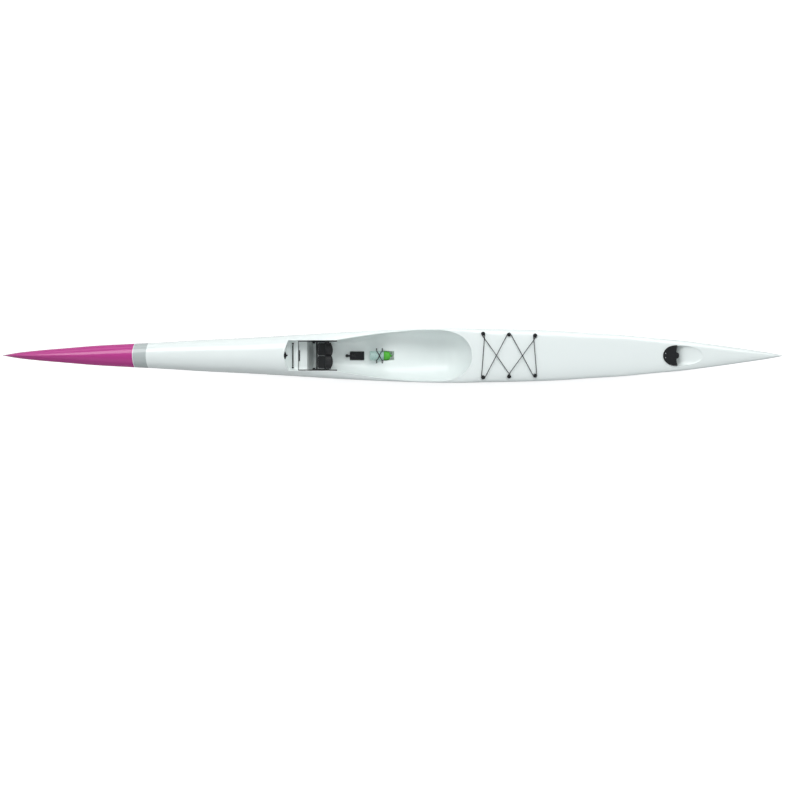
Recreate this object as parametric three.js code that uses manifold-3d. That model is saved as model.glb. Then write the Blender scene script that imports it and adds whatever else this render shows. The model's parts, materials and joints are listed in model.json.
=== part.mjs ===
// A surfski: a closed racing hull with an open cockpit, a sliding footplate with
// steering pedals, a self-bailer, a drink bottle, deck elastics and a pedal-steered rudder.
// Millimetres. +X runs to the stern, +Y to starboard, +Z up, keel bottom amidships at the origin.

import * as THREE from 'three';
import { mergeVertices } from 'three/addons/utils/BufferGeometryUtils.js';
import Module from 'manifold-3d';

const wasm = await Module();
wasm.setup();

// Hull
const hullLength = 6000;
const maxBeam = 420;
const bowHeight = 361;
const laminate = 4;
const bondGap = 0.3;
const stemHalfWidth = 2.5;
const keelFlatWidth = 56;
const cutOverrun = 40;
const coreEndInset = 130;
const shellClearance = 6;

// Cockpit
const cockpitFront = -841;
const footwellEnd = -433;
const cockpitEnd = 603;
const footwellHalfWidth = 117;
const bucketHalfWidth = 197;
const floorHeight = 30;
const frontLedgeHeight = 186;
const frontLedgeEnd = -731;
const stepHeight = 164;
const stepEnd = -664;
const footwellFront = -614;
const humpHeight = 92;
const humpPlace = -20;
const bucketPlace = 330;
const coamingTop = 240;

// Drink recess, bottle and its two cords
const bottleCentre = -96;
const bottleRadius = 36;
const bottleBodyLength = 109;
const bottleCapRadius = 35;
const bottleCapLength = 49;
const valveRadius = 9;
const valveLength = 12;
const bottlePlay = 3;
const bottleSink = 30;
const recessOverrun = 34;
const holdCordRadius = 3.2;
const holdCordSpread = 22;
const holdCordPlace = -107;

// Footrest tracks, with a slot for the footplate's clamp studs
const trackLength = 300;
const trackHeight = 26;
const trackDepth = 9;
const trackCentreHeight = 178;
const trackFront = -733;
const trackScrewRadius = 2.6;
const trackScrewHeadRadius = 5;
const trackScrewHeadHeight = 2.4;
const trackScrewInset = 12;
const plateForward = 35;
const plateBack = 80;
const clampRadius = 4.5;
const clampPlace = -612;
const clampKnobRadius = 12;
const clampKnobLength = 6;
const clampLobes = 3;
const clampBite = 4;
const slotMargin = 8;

// Footplate: two cheeks, a cross bar and a sloping heel board with two round heel lobes
const cheekThickness = 6;
const cheekGap = 1;
const heelPlace = -466;
const heelHeight = 52;
const heelBoardRun = 64;
const heelBoardRise = 75;
const heelBoardThickness = 8;
const heelLobeReach = 40;
const crossBarRadius = 6;
const crossBarPlace = -588;
const cheekMargin = 13;

// Pedals, on an axle at the heel board's top
const pedalReach = 100;
const pedalLean = 28;
const pedalThickness = 8;
const pedalHubRadius = 8.5;
const pedalSideGap = 3;
const pedalCornerRadius = 22;
const axleRadius = 4;
const axleRise = 12;

// Foot strap
const strapWidth = 38;
const strapThickness = 2.5;
const strapPlace = -498;
const strapRise = 62;

// Front elastic strap and lip grip
const strapBarPlace = -773;
const strapBarRadius = 5;
const strapBarHalfLength = 92;
const hookRadius = 8;
const hookHeight = 22;
const gripWidth = 85;
const gripRadius = 4.5;

// Self-bailer
const bailerLength = 105;
const bailerWidth = 62;
const bailerHeight = 13;
const bailerPlace = -280;
const chuteLength = 62;
const chuteWidth = 30;
const chuteWall = 3;
const gasketThickness = 1.5;
const gasketMargin = 3;
const flapThickness = 3;
const flapGap = 0.6;
const flapSideGap = 2;
const leverWidth = 16;
const leverThickness = 6;
const leverLength = 62;
const leverKnobRadius = 12.5;
const leverKnobHeight = 11;
const bailerPinRadius = 2;
const leverEarThickness = 4;

// Deck fittings
const deckKnobRadius = 16;
const deckKnobHeight = 17;
const deckKnobNeckRadius = 8;
const knobFirst = 691;
const knobPitch = 200;
const knobRows = 3;
const knobFirstHalfSpan = 168;
const knobLastHalfSpan = 155;
const elasticRadius = 3;
const elasticRise = 9;
const cleatSpan = 58;
const cleatLength = 31;
const cleatHeight = 33;
const cleatThickness = 7;

// Rudder gear
const rudderStockFromStern = 855;
const rudderStockPlace = hullLength / 2 - rudderStockFromStern;
const rudderStockRadius = 5;
const rudderDepth = 176;
const rudderRootChord = 121;
const rudderRootLead = 41;
const rudderThickness = 16;
const rudderHullGap = 3;
const stockInBlade = 34;
const bushWall = 2.5;
const bushHeight = 14;
const tubeWall = 2;
const runningGap = 0.35;
const yokeSpan = 76;
const yokeThickness = 6;
const yokeWidth = 16;
const yokeHubRadius = 13;
const nutRadius = 8;
const nutHeight = 6;
const lineRadius = 2.5;

// Well behind the cover, and the cover
const wellLead = 41;
const wellLength = 274;
const wellFront = rudderStockPlace - wellLead;
const wellEnd = wellFront + wellLength;
const wellHalfWidth = 77;
const wellDepth = 58;
const coverLead = 69;
const coverLength = 108;
const coverFront = rudderStockPlace - coverLead;
const coverRear = coverFront + coverLength;
const coverHalfWidth = 80;
const coverTabReach = 16;
const coverRise = 9;
const coverScrewRadius = 4.5;
const coverScrewHeadHeight = 2;
const coverScrewShankRadius = 2;
const coverScrewLength = 14;
const coverScrewInset = 19;
const coverScrewPlace = coverFront + coverScrewInset;
const coverScrewSpread = 16;

const halfLength = hullLength / 2;
const halfBeam = maxBeam / 2;

// Each hull line is a share of the half length against a share of the size it follows.
const beamShares = [
  [-1, 0.004], [-0.958, 0.105], [-0.896, 0.2], [-0.855, 0.248], [-0.752, 0.367], [-0.67, 0.429],
  [-0.609, 0.471], [-0.486, 0.576], [-0.362, 0.662], [-0.239, 0.767], [-0.116, 0.871], [0.007, 0.95],
  [0.13, 0.998], [0.17, 1], [0.212, 0.988], [0.335, 0.952], [0.418, 0.91], [0.5, 0.833], [0.582, 0.762],
  [0.664, 0.652], [0.746, 0.543], [0.828, 0.395], [0.91, 0.229], [0.951, 0.143], [0.992, 0.038], [1, 0.01],
];
const keelShares = [
  [-1, 0.69], [-0.992, 0.56], [-0.978, 0.324], [-0.958, 0.238], [-0.937, 0.216], [-0.917, 0.186],
  [-0.875, 0.163], [-0.834, 0.147], [-0.793, 0.133], [-0.67, 0.083], [-0.609, 0.075], [-0.486, 0.042],
  [-0.362, 0.019], [-0.239, 0.011], [-0.116, 0.003], [-0.09, 0], [0.11, 0], [0.212, 0.011],
  [0.335, 0.019], [0.459, 0.036], [0.582, 0.058], [0.705, 0.078], [0.787, 0.105], [0.869, 0.136],
  [0.91, 0.163], [0.951, 0.191], [0.977, 0.224], [0.99, 0.271], [0.997, 0.32], [1, 0.41],
];
const sheerShares = [
  [-1, 0.88], [-0.95, 0.895], [-0.8, 0.85], [-0.67, 0.79], [-0.598, 0.748], [-0.393, 0.601],
  [-0.239, 0.535], [-0.123, 0.54], [0.017, 0.565], [0.12, 0.554], [0.273, 0.526], [0.53, 0.515],
  [0.633, 0.512], [0.77, 0.49], [0.9, 0.47], [0.97, 0.45], [1, 0.44],
];
const crownShares = [
  [-1, 0.922], [-0.992, 0.965], [-0.967, 0.99], [-0.937, 1], [-0.773, 1], [-0.7, 0.987], [-0.65, 0.97],
  [-0.568, 0.942], [-0.486, 0.92], [-0.403, 0.9], [-0.301, 0.867], [-0.267, 0.85], [-0.239, 0.82],
  [-0.198, 0.78], [-0.116, 0.727], [-0.075, 0.701], [-0.024, 0.687], [0.067, 0.68], [0.133, 0.68],
  [0.171, 0.681], [0.212, 0.692], [0.253, 0.687], [0.335, 0.662], [0.418, 0.652], [0.459, 0.643],
  [0.541, 0.623], [0.623, 0.607], [0.705, 0.601], [0.787, 0.579], [0.869, 0.56], [0.951, 0.515], [1, 0.49],
];

// How boxy a section is: 2 is an ellipse, less is finer, more is squarer.
const hullFullnessShares = [
  [-1, 1.1], [-0.85, 1.2], [-0.6, 1.5], [-0.35, 1.95], [-0.1, 2.3], [0.25, 2.3], [0.55, 1.95],
  [0.8, 1.5], [1, 1.2],
];
const deckFullnessShares = [
  [-1, 1.3], [-0.8, 1.5], [-0.598, 1.9], [-0.3, 2.2], [-0.198, 2.3], [-0.116, 3], [-0.024, 5], [0.05, 7],
  [0.14, 7.5], [0.19, 6], [0.25, 4], [0.4, 3.4], [0.7, 3], [0.9, 2.4], [1, 2],
];

// Where the sections stand along the hull, as shares of the half length.
const stationShares = [
  -1, -0.992, -0.978, -0.958, -0.93, -0.895, -0.855, -0.81, -0.752, -0.69, -0.625, -0.56, -0.49, -0.42,
  -0.35, -0.28, -0.21, -0.14, -0.09, -0.03, 0.04, 0.11, 0.17, 0.24, 0.31, 0.38, 0.45, 0.52, 0.59, 0.66,
  0.725, 0.787, 0.845, 0.9, 0.945, 0.975, 0.99, 1,
];
const hullSidePoints = 7;
const keelTuckShare = 0.01;
const deckSidePoints = 7;

// A smooth curve through the points that never swings past them.
function fairCurve(points) {
  const last = points.length - 1;
  const slopes = points.slice(1).map((point, i) => (point[1] - points[i][1]) / (point[0] - points[i][0]));
  const tangents = points.map((point, i) => {
    if (i === 0) return slopes[0];
    if (i === last) return slopes[last - 1];
    if (slopes[i - 1] * slopes[i] <= 0) return 0;
    return 2 / (1 / slopes[i - 1] + 1 / slopes[i]);
  });
  return (at) => {
    const place = Math.min(Math.max(at, points[0][0]), points[last][0]);
    let i = 0;
    while (i < last - 1 && place > points[i + 1][0]) i += 1;
    const span = points[i + 1][0] - points[i][0];
    const t = (place - points[i][0]) / span;
    const rise = points[i + 1][1] - points[i][1];
    const square = t * t;
    const cube = square * t;
    return points[i][1] + rise * (3 * square - 2 * cube)
      + span * (tangents[i] * (cube - 2 * square + t) + tangents[i + 1] * (cube - square));
  };
}

const beamCurve = fairCurve(beamShares);
const keelCurve = fairCurve(keelShares);
const sheerCurve = fairCurve(sheerShares);
const crownCurve = fairCurve(crownShares);
const hullFullnessCurve = fairCurve(hullFullnessShares);
const deckFullnessCurve = fairCurve(deckFullnessShares);

const beamAt = (x) => Math.max(halfBeam * beamCurve(x / halfLength), stemHalfWidth);
const keelAt = (x) => bowHeight * keelCurve(x / halfLength);
const sheerAt = (x) => bowHeight * sheerCurve(x / halfLength);
const crownAt = (x) => bowHeight * crownCurve(x / halfLength);

// Height of the hull's outside at a place, and of the deck's outside.
function hullHeightAt(x, y) {
  const power = hullFullnessCurve(x / halfLength);
  const across = Math.min(Math.abs(y) / beamAt(x), 1);
  return sheerAt(x) - (sheerAt(x) - keelAt(x)) * (1 - across ** power) ** (1 / power);
}
function deckHeightAt(x, y) {
  const power = deckFullnessCurve(x / halfLength);
  const across = Math.min(Math.abs(y) / beamAt(x), 1);
  return sheerAt(x) + (crownAt(x) - sheerAt(x)) * (1 - across ** power) ** (1 / power);
}

// Solids from meshes and back.
function solidOf(geometry) {
  const bare = geometry.clone();
  for (const name of Object.keys(bare.attributes)) {
    if (name !== 'position') bare.deleteAttribute(name);
  }
  const merged = mergeVertices(bare, 1e-4);
  return new wasm.Manifold(new wasm.Mesh({
    numProp: 3,
    vertProperties: new Float32Array(merged.attributes.position.array),
    triVerts: new Uint32Array(merged.index.array),
  }));
}
function geometryOf(solid) {
  const mesh = solid.getMesh();
  const geometry = new THREE.BufferGeometry();
  geometry.setAttribute('position', new THREE.BufferAttribute(new Float32Array(mesh.vertProperties), 3));
  geometry.setIndex(new THREE.BufferAttribute(new Uint32Array(mesh.triVerts), 1));
  geometry.computeVertexNormals();
  return geometry;
}

// A closed skin over rings that all have the same number of points.
function loft(rings) {
  const count = rings[0].length;
  const positions = rings.flat(2);
  const index = [];
  for (let r = 0; r < rings.length - 1; r += 1) {
    for (let p = 0; p < count; p += 1) {
      const a = r * count + p;
      const b = r * count + (p + 1) % count;
      index.push(a, b, a + count, b, b + count, a + count);
    }
  }
  const far = (rings.length - 1) * count;
  const fold = count / 2;
  for (let p = 0; p < fold - 1; p += 1) {
    const mate = count - 1 - p;
    index.push(p, mate, p + 1, mate, mate - 1, p + 1);
    index.push(far + p, far + p + 1, far + mate, far + mate, far + p + 1, far + mate - 1);
  }
  const geometry = new THREE.BufferGeometry();
  geometry.setAttribute('position', new THREE.BufferAttribute(new Float32Array(positions), 3));
  geometry.setIndex(index);
  return geometry;
}

// Plain shapes, as solids at a place.
const roundSides = 12;
const smallSides = 8;
const hookSides = 10;
const knobSides = 14;
const capSides = 16;
const bottleSides = 20;
const nutSides = 6;
const cornerSteps = 4;
const endStep = 0.5;
function block(sizeX, sizeY, sizeZ, x, y, z) {
  return solidOf(new THREE.BoxGeometry(sizeX, sizeY, sizeZ).translate(x, y, z));
}
function post(radius, height, x, y, z, sides = roundSides) {
  const geometry = new THREE.CylinderGeometry(radius, radius, height, sides);
  return solidOf(geometry.rotateX(Math.PI / 2).translate(x, y, z + height / 2));
}
function rod(radius, length, x, y, z, sides = roundSides) {
  return solidOf(new THREE.CylinderGeometry(radius, radius, length, sides).translate(x, y, z));
}
function turned(profile, x, y, z, sides = roundSides) {
  const points = profile.map(([radius, height]) => new THREE.Vector2(radius, height));
  return solidOf(new THREE.LatheGeometry(points, sides).rotateX(Math.PI / 2).translate(x, y, z));
}

// A flat outline of [x, z] points, drawn seen from the side and given a thickness along Y.
function sidePlate(outline, thickness, y) {
  const shape = new THREE.Shape(outline.map(([x, z]) => new THREE.Vector2(x, z)));
  const geometry = new THREE.ExtrudeGeometry(shape, { depth: thickness, bevelEnabled: false });
  return solidOf(geometry.rotateX(Math.PI / 2).translate(0, y + thickness / 2, 0));
}
// The same for an outline of [x, y] points seen from above.
function deckPlate(outline, thickness, z) {
  const shape = new THREE.Shape(outline.map(([x, y]) => new THREE.Vector2(x, y)));
  const geometry = new THREE.ExtrudeGeometry(shape, { depth: thickness, bevelEnabled: false });
  return solidOf(geometry.translate(0, 0, z));
}

// A round cord through chosen points, one ring at each.
class PointRoute extends THREE.Curve {
  constructor(points) {
    super();
    this.points = points.map((point) => new THREE.Vector3(...point));
  }

  getPoint(t) {
    const along = Math.min(Math.max(t, 0), 1) * (this.points.length - 1);
    const i = Math.min(Math.floor(along), this.points.length - 2);
    return new THREE.Vector3().lerpVectors(this.points[i], this.points[i + 1], along - i);
  }

  getPointAt(u) {
    return this.getPoint(u);
  }

  getSpacedPoints(divisions) {
    return this.getPoints(divisions);
  }

  getTangentAt(u) {
    const step = 1 / (this.points.length - 1);
    const ahead = this.getPoint(Math.min(u + step, 1));
    return ahead.sub(this.getPoint(Math.max(u - step, 0))).normalize();
  }
}
const cordSides = 6;
function cord(points, radius, sides = cordSides) {
  const corners = Array.from({ length: sides }, (_, i) => {
    const angle = (i / sides) * Math.PI * 2;
    return new THREE.Vector2(radius * Math.cos(angle), radius * Math.sin(angle));
  });
  const settings = { steps: points.length - 1, bevelEnabled: false, extrudePath: new PointRoute(points) };
  return solidOf(new THREE.ExtrudeGeometry(new THREE.Shape(corners), settings));
}
const eachSide = [['port', -1], ['starboard', 1]];

// One ring of the body, from the keel up the starboard side and down the port side.
function bodyRing(x, inset) {
  const width = Math.max(beamAt(x) - inset, stemHalfWidth / 2);
  const keel = keelAt(x) + inset;
  const crown = Math.max(crownAt(x) - inset, keel + laminate);
  const sheer = Math.min(Math.max(sheerAt(x), keel + laminate / 2), crown - laminate / 4);
  const hullPower = hullFullnessCurve(x / halfLength);
  const deckPower = deckFullnessCurve(x / halfLength);
  const side = [];
  const flat = Math.min(keelFlatWidth / 2, width / 4);
  side.push([x, flat, keel]);
  for (let i = 1; i <= hullSidePoints; i += 1) {
    const angle = (i / hullSidePoints) * Math.PI / 2;
    const y = Math.max(width * Math.sin(angle) ** (2 / hullPower), flat + width * i * keelTuckShare);
    const z = i === hullSidePoints ? sheer : sheer - (sheer - keel) * Math.cos(angle) ** (2 / hullPower);
    side.push([x, y, z]);
  }
  for (let i = 1; i <= deckSidePoints; i += 1) {
    const angle = (i / (deckSidePoints + endStep)) * Math.PI / 2;
    const y = width * Math.cos(angle) ** (2 / deckPower);
    const z = sheer + (crown - sheer) * Math.sin(angle) ** (2 / deckPower);
    side.push([x, y, z]);
  }
  return [...side, ...side.map((point) => [point[0], -point[1], point[2]]).reverse()];
}
function bodySolid(inset, fromX, toX) {
  const stations = stationShares.map((share) => share * halfLength).filter((x) => x > fromX && x < toX);
  return solidOf(loft([fromX, ...stations, toX].map((x) => bodyRing(x, inset))));
}

// Everything below the bond line between hull and deck, and everything above it.
function bondSheet(shift, toHeight) {
  const reach = halfBeam + cutOverrun;
  const ends = [-halfLength - cutOverrun, halfLength + cutOverrun];
  const stations = [ends[0], ...stationShares.map((share) => share * halfLength), ends[1]];
  const rings = stations.map((x) => {
    const line = sheerAt(x) + shift;
    const low = Math.min(line, toHeight);
    const high = Math.max(line, toHeight);
    return [[x, reach, low], [x, reach, high], [x, -reach, high], [x, -reach, low]];
  });
  return solidOf(loft(rings));
}

// The cockpit: a square-sided footwell, a knee hump and a round seat bucket.
const frontArcReach = 31;
const frontArcPower = 1.4;
const backCornerPower = 2.2;
const cockpitTop = bowHeight + cutOverrun;
const humpStart = -215;
const backHeightShare = 0.93;
const openWidthShares = [
  [0, 0.03], [0.138, 0.32], [0.349, 0.7], [0.447, 0.82], [0.597, 0.985], [0.746, 1], [1, 1],
];
const seatBackShares = [[0, 0], [0.3, 0.06], [0.52, 0.2], [0.7, 0.4], [0.84, 0.62], [0.94, 0.83], [1, 1]];
const openWidthCurve = fairCurve(openWidthShares);
const cockpitFloorCurve = fairCurve([
  [cockpitFront, frontLedgeHeight],
  [frontLedgeEnd, frontLedgeHeight],
  [frontLedgeEnd + laminate / 2, stepHeight],
  [stepEnd, stepHeight],
  [footwellFront, floorHeight],
  [humpStart, floorHeight],
  [humpPlace, humpHeight],
  [bucketPlace, floorHeight],
  ...seatBackShares.slice(1).map(([along, up]) => [
    bucketPlace + along * (cockpitEnd - bucketPlace),
    floorHeight + up * (coamingTop * backHeightShare - floorHeight),
  ]),
]);
const cockpitFullnessCurve = fairCurve([
  [cockpitFront, 8],
  [footwellFront, 6],
  [footwellEnd, 4.4],
  [humpPlace, 3],
  [bucketPlace, 2.6],
  [cockpitEnd, 2.3],
]);

function cockpitWidthAt(x, grow) {
  const open = openWidthCurve((x - footwellEnd) / (cockpitEnd - footwellEnd));
  const width = footwellHalfWidth + (bucketHalfWidth - footwellHalfWidth) * (x > footwellEnd ? open : 0);
  const ahead = Math.max((cockpitFront + frontArcReach - x) / (frontArcReach + grow), 0);
  const behind = Math.max((x - bucketPlace) / (cockpitEnd + grow - bucketPlace), 0);
  const front = (1 - Math.min(ahead, 1)) ** (1 / frontArcPower);
  const back = (1 - Math.min(behind, 1) ** backCornerPower) ** (1 / backCornerPower);
  return Math.max((width + grow) * front * back, stemHalfWidth / 2);
}
function cockpitFloorAt(x, y, grow) {
  const centre = Math.min(cockpitFloorCurve(x - grow), cockpitFloorCurve(x), cockpitFloorCurve(x + grow));
  const power = cockpitFullnessCurve(x);
  const width = cockpitWidthAt(x, 0);
  const rim = deckHeightAt(x, width);
  const across = Math.min(Math.abs(y) / width, 1);
  const own = rim - (rim - centre) * (1 - across ** power) ** (1 / power);
  const least = hullHeightAt(x, Math.abs(y) + laminate) + 2 * laminate + shellClearance;
  return Math.min(Math.max(own, least), cockpitTop - cutOverrun / 2) - grow;
}
const cockpitPoints = 8;
const cockpitEndShares = [0.05, 0.2, 0.5, 1];
const cockpitBackShares = [0, 0.14, 0.28, 0.42, 0.55, 0.67, 0.78, 0.87, 0.94, 0.985];
const cockpitPitch = 68;

function cockpitRing(x, grow) {
  const width = cockpitWidthAt(x, 0);
  const power = cockpitFullnessCurve(x);
  const grownWidth = cockpitWidthAt(x, grow);
  const side = [];
  for (let i = cockpitPoints; i >= 0; i -= 1) {
    const angle = (i / (cockpitPoints + endStep)) * Math.PI / 2;
    const y = width * Math.cos(angle) ** (2 / power);
    side.push([x, y * grownWidth / width, cockpitFloorAt(x, y, grow)]);
  }
  side.push([x, grownWidth, cockpitTop]);
  return [...side, ...side.map((point) => [point[0], -point[1], point[2]]).reverse()];
}
function cockpitSolid(grow) {
  const stations = [cockpitFront - grow, cockpitEnd + grow];
  for (const share of cockpitEndShares) stations.push(cockpitFront + share * frontArcReach);
  for (const share of cockpitBackShares) stations.push(bucketPlace + share * (cockpitEnd - bucketPlace));
  for (const x of [frontLedgeEnd, frontLedgeEnd + laminate / 2, stepEnd, footwellFront]) {
    stations.push(x - grow);
    if (grow > 0) stations.push(x);
  }
  stations.push((stepEnd + footwellFront) / 2);
  const pitches = Math.round((bucketPlace - footwellFront) / cockpitPitch);
  for (let i = 1; i < pitches; i += 1) {
    stations.push(footwellFront + (bucketPlace - footwellFront) * i / pitches);
  }
  stations.sort((a, b) => a - b);
  return solidOf(loft(stations.map((x) => cockpitRing(x, grow))));
}

const surfski = new THREE.Group();

// A finish for each material.
function finish(color, roughness, metalness = 0) {
  return new THREE.MeshStandardMaterial({ color, roughness, metalness });
}
const gelcoat = finish(0xf2f4f4, 0.18);
const foam = finish(0xd9cfae, 0.9);
const blackPlastic = finish(0x1c2022, 0.5);
const steel = finish(0xc4c7c9, 0.25, 1);
const rubber = finish(0x2b2e30, 0.8);
const elasticCover = finish(0x3c4144, 0.85);
const webbing = finish(0x17191b, 0.9);
const clearTeal = finish(0x9fcfc9, 0.2);
const greenCap = finish(0x4fb52c, 0.4);
const tubePlastic = finish(0xdadfe0, 0.5);

function addSolid(name, solid, material) {
  const mesh = new THREE.Mesh(geometryOf(solid), material);
  mesh.name = name;
  surfski.add(mesh);
  return mesh;
}

// Well for the rudder head, which runs out aft as a shallow scoop.
const wellWidthShares = [
  [0, 0.3], [0.03, 0.62], [0.1, 0.82], [0.2, 0.86], [0.31, 0.99], [0.46, 1], [0.66, 0.9], [0.85, 0.7],
  [0.965, 0.42], [1, 0.14],
];
const wellDepthShares = [[0, 0.95], [0.05, 1], [0.25, 1], [0.38, 0.72], [0.55, 0.42], [0.78, 0.2], [1, 0.02]];
const wellFullnessShares = [[0, 5], [0.25, 5], [0.5, 2.6], [1, 2.2]];
const wellWidthCurve = fairCurve(wellWidthShares);
const wellDepthCurve = fairCurve(wellDepthShares);
const wellFullnessCurve = fairCurve(wellFullnessShares);
const wellStationShares = [0.03, 0.1, 0.18, 0.25, 0.33, 0.42, 0.52, 0.66, 0.8, 0.9, 0.965];
const wellPoints = 6;

function wellRing(x, grow) {
  const along = (x - wellFront) / (wellEnd - wellFront);
  const width = wellHalfWidth * wellWidthCurve(along);
  const depth = wellDepth * wellDepthCurve(along);
  const power = wellFullnessCurve(along);
  const rim = deckHeightAt(x, width);
  const side = [];
  for (let i = wellPoints; i >= 0; i -= 1) {
    const angle = (i / (wellPoints + endStep)) * Math.PI / 2;
    const z = Math.min(rim, deckHeightAt(x, 0) - depth * Math.sin(angle) ** (2 / power));
    side.push([x, (width + grow) * Math.cos(angle) ** (2 / power), z - grow]);
  }
  side.push([x, width + grow, cockpitTop]);
  return [...side, ...side.map((point) => [point[0], -point[1], point[2]]).reverse()];
}
function wellSolid(grow) {
  const stations = wellStationShares.map((share) => wellFront + share * (wellEnd - wellFront));
  return solidOf(loft([wellFront - grow, ...stations, wellEnd + grow].map((x) => wellRing(x, grow))));
}
const wellFloor = deckHeightAt(rudderStockPlace, 0) - wellDepth;

// Drink recess in the knee hump: a trough that the bottle lies in.
const bottleAxisHeight = cockpitFloorAt(bottleCentre, 0, 0) + bottleRadius - bottleSink;
const recessLength = bottleBodyLength + bottleCapLength + valveLength + recessOverrun;
function recessSolid(grow) {
  const trough = new THREE.CylinderGeometry(
    bottleRadius + bottlePlay + grow,
    bottleRadius + bottlePlay + grow,
    recessLength + 2 * grow,
    2 * roundSides,
  );
  return solidOf(trough.rotateZ(Math.PI / 2).translate(bottleCentre, 0, bottleAxisHeight));
}

// Bailer's way through the cockpit floor and the hull.
const bailerFloor = cockpitFloorAt(bailerPlace, 0, 0);
function chuteSolid(grow) {
  const height = bailerFloor + bailerHeight + cutOverrun;
  const length = chuteLength + 2 * grow;
  const width = chuteWidth + 2 * grow;
  return block(length, width, height, bailerPlace, 0, height / 2 - cutOverrun);
}

// Rudder tube sizes, from the stock outwards.
const bushOuter = rudderStockRadius + runningGap + bushWall;
const tubeInner = bushOuter + bondGap;
const tubeOuter = tubeInner + tubeWall;
const stockHole = post(tubeOuter + bondGap, bowHeight, rudderStockPlace, 0, -cutOverrun);

// Hull, deck and cockpit mouldings.
const body = bodySolid(0, -halfLength, halfLength);
const core = bodySolid(laminate, -halfLength + coreEndInset, halfLength - coreEndInset);
const skin = body.subtract(core);
const chuteHole = chuteSolid(chuteWall + bondGap);
const hullShell = skin.intersect(bondSheet(-bondGap / 2, -cutOverrun))
  .subtract(chuteHole)
  .subtract(stockHole);
const deckTop = skin.intersect(bondSheet(bondGap / 2, cockpitTop + cutOverrun))
  .subtract(cockpitSolid(laminate + bondGap));
const coverScrewPlaces = [-1, 1].map((side) => [coverScrewPlace, side * coverScrewSpread]);
let deckShell = deckTop.add(wellSolid(laminate).intersect(body))
  .subtract(wellSolid(0))
  .subtract(stockHole);
for (const [x, y] of coverScrewPlaces) {
  deckShell = deckShell.subtract(post(coverScrewShankRadius + bondGap, bowHeight, x, y, 0));
}
const cockpitOpen = cockpitSolid(0);
const cockpitShell = cockpitSolid(laminate).add(recessSolid(laminate))
  .intersect(body)
  .subtract(cockpitOpen)
  .subtract(recessSolid(0))
  .subtract(chuteHole);
addSolid('hull_shell', hullShell, gelcoat);
addSolid('deck_shell', deckShell, gelcoat);
addSolid('cockpit_shell', cockpitShell, gelcoat);

// Inside the shells: foam stringers on edge, and a block under the bucket.
const stringerThickness = 14;
const stringerBowGap = 500;
const stringerEndGap = 60;
const stringerEnds = [
  [stringerBowGap - halfLength, cockpitFront - stringerEndGap],
  [cockpitEnd + stringerEndGap, wellFront - stringerEndGap],
];
const seatBlockLength = 300;
const seatBlockWidth = 110;
const insideRoom = bodySolid(laminate + bondGap, -halfLength + coreEndInset, halfLength - coreEndInset);
const cockpitKeepOut = cockpitSolid(laminate + bondGap);
for (const [i, name] of ['fore_stringer', 'aft_stringer'].entries()) {
  const [from, to] = stringerEnds[i];
  const panel = block(to - from, stringerThickness, bowHeight * 2, (from + to) / 2, 0, 0);
  addSolid(name, insideRoom.intersect(panel), foam);
}
const seatBlock = block(
  seatBlockLength,
  seatBlockWidth,
  bucketHalfWidth,
  bucketPlace - laminate,
  0,
  bucketHalfWidth / 2,
);
addSolid('seat_support', insideRoom.intersect(seatBlock).subtract(cockpitKeepOut), foam);

// What a fitting in the cockpit may fill, up to its seat on the moulding.
const cockpitRoom = [[1, 0, 0], [-1, 0, 0], [0, 1, 0], [0, -1, 0], [0, 0, 1]].reduce((room, way) => (
  room.intersect(cockpitOpen.translate(...way.map((share) => share * bondGap)))
), cockpitOpen);

// Footrest tracks, each with a slot for the clamp's stud, and their screws.
const trackMiddle = trackFront + trackLength / 2;
for (const [side, sign] of eachSide) {
  const trackY = sign * (footwellHalfWidth - trackDepth / 2);
  const trackFull = trackDepth + 2 * bondGap;
  let track = block(trackLength, trackFull, trackHeight, trackMiddle, trackY, trackCentreHeight);
  const slotFrom = clampPlace - plateForward - slotMargin;
  const slotTo = clampPlace + plateBack + slotMargin;
  track = track.subtract(block(
    slotTo - slotFrom,
    trackDepth * 2,
    2 * (clampRadius + bondGap),
    (slotFrom + slotTo) / 2,
    trackY,
    trackCentreHeight,
  ));
  const screwPlaces = [trackFront + trackScrewInset, trackFront + trackLength - trackScrewInset];
  const faceY = sign * (footwellHalfWidth - trackDepth);
  const headY = faceY + sign * trackScrewHeadHeight / 2;
  const pocketDepth = trackScrewHeadHeight + bondGap;
  for (const [i, x] of screwPlaces.entries()) {
    track = track
      .subtract(rod(trackScrewRadius + bondGap, trackDepth * 3, x, trackY, trackCentreHeight))
      .subtract(rod(trackScrewHeadRadius + bondGap, 2 * pocketDepth, x, faceY, trackCentreHeight));
    const shank = rod(trackScrewRadius, trackDepth - 2 * bondGap, x, trackY, trackCentreHeight, smallSides);
    const head = rod(trackScrewHeadRadius, trackScrewHeadHeight, x, headY, trackCentreHeight);
    addSolid(`track_screw_${side}_${i + 1}`, shank.add(head).intersect(cockpitRoom), steel);
  }
  addSolid(`footrest_track_${side}`, track.intersect(cockpitRoom), blackPlastic);
}

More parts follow.
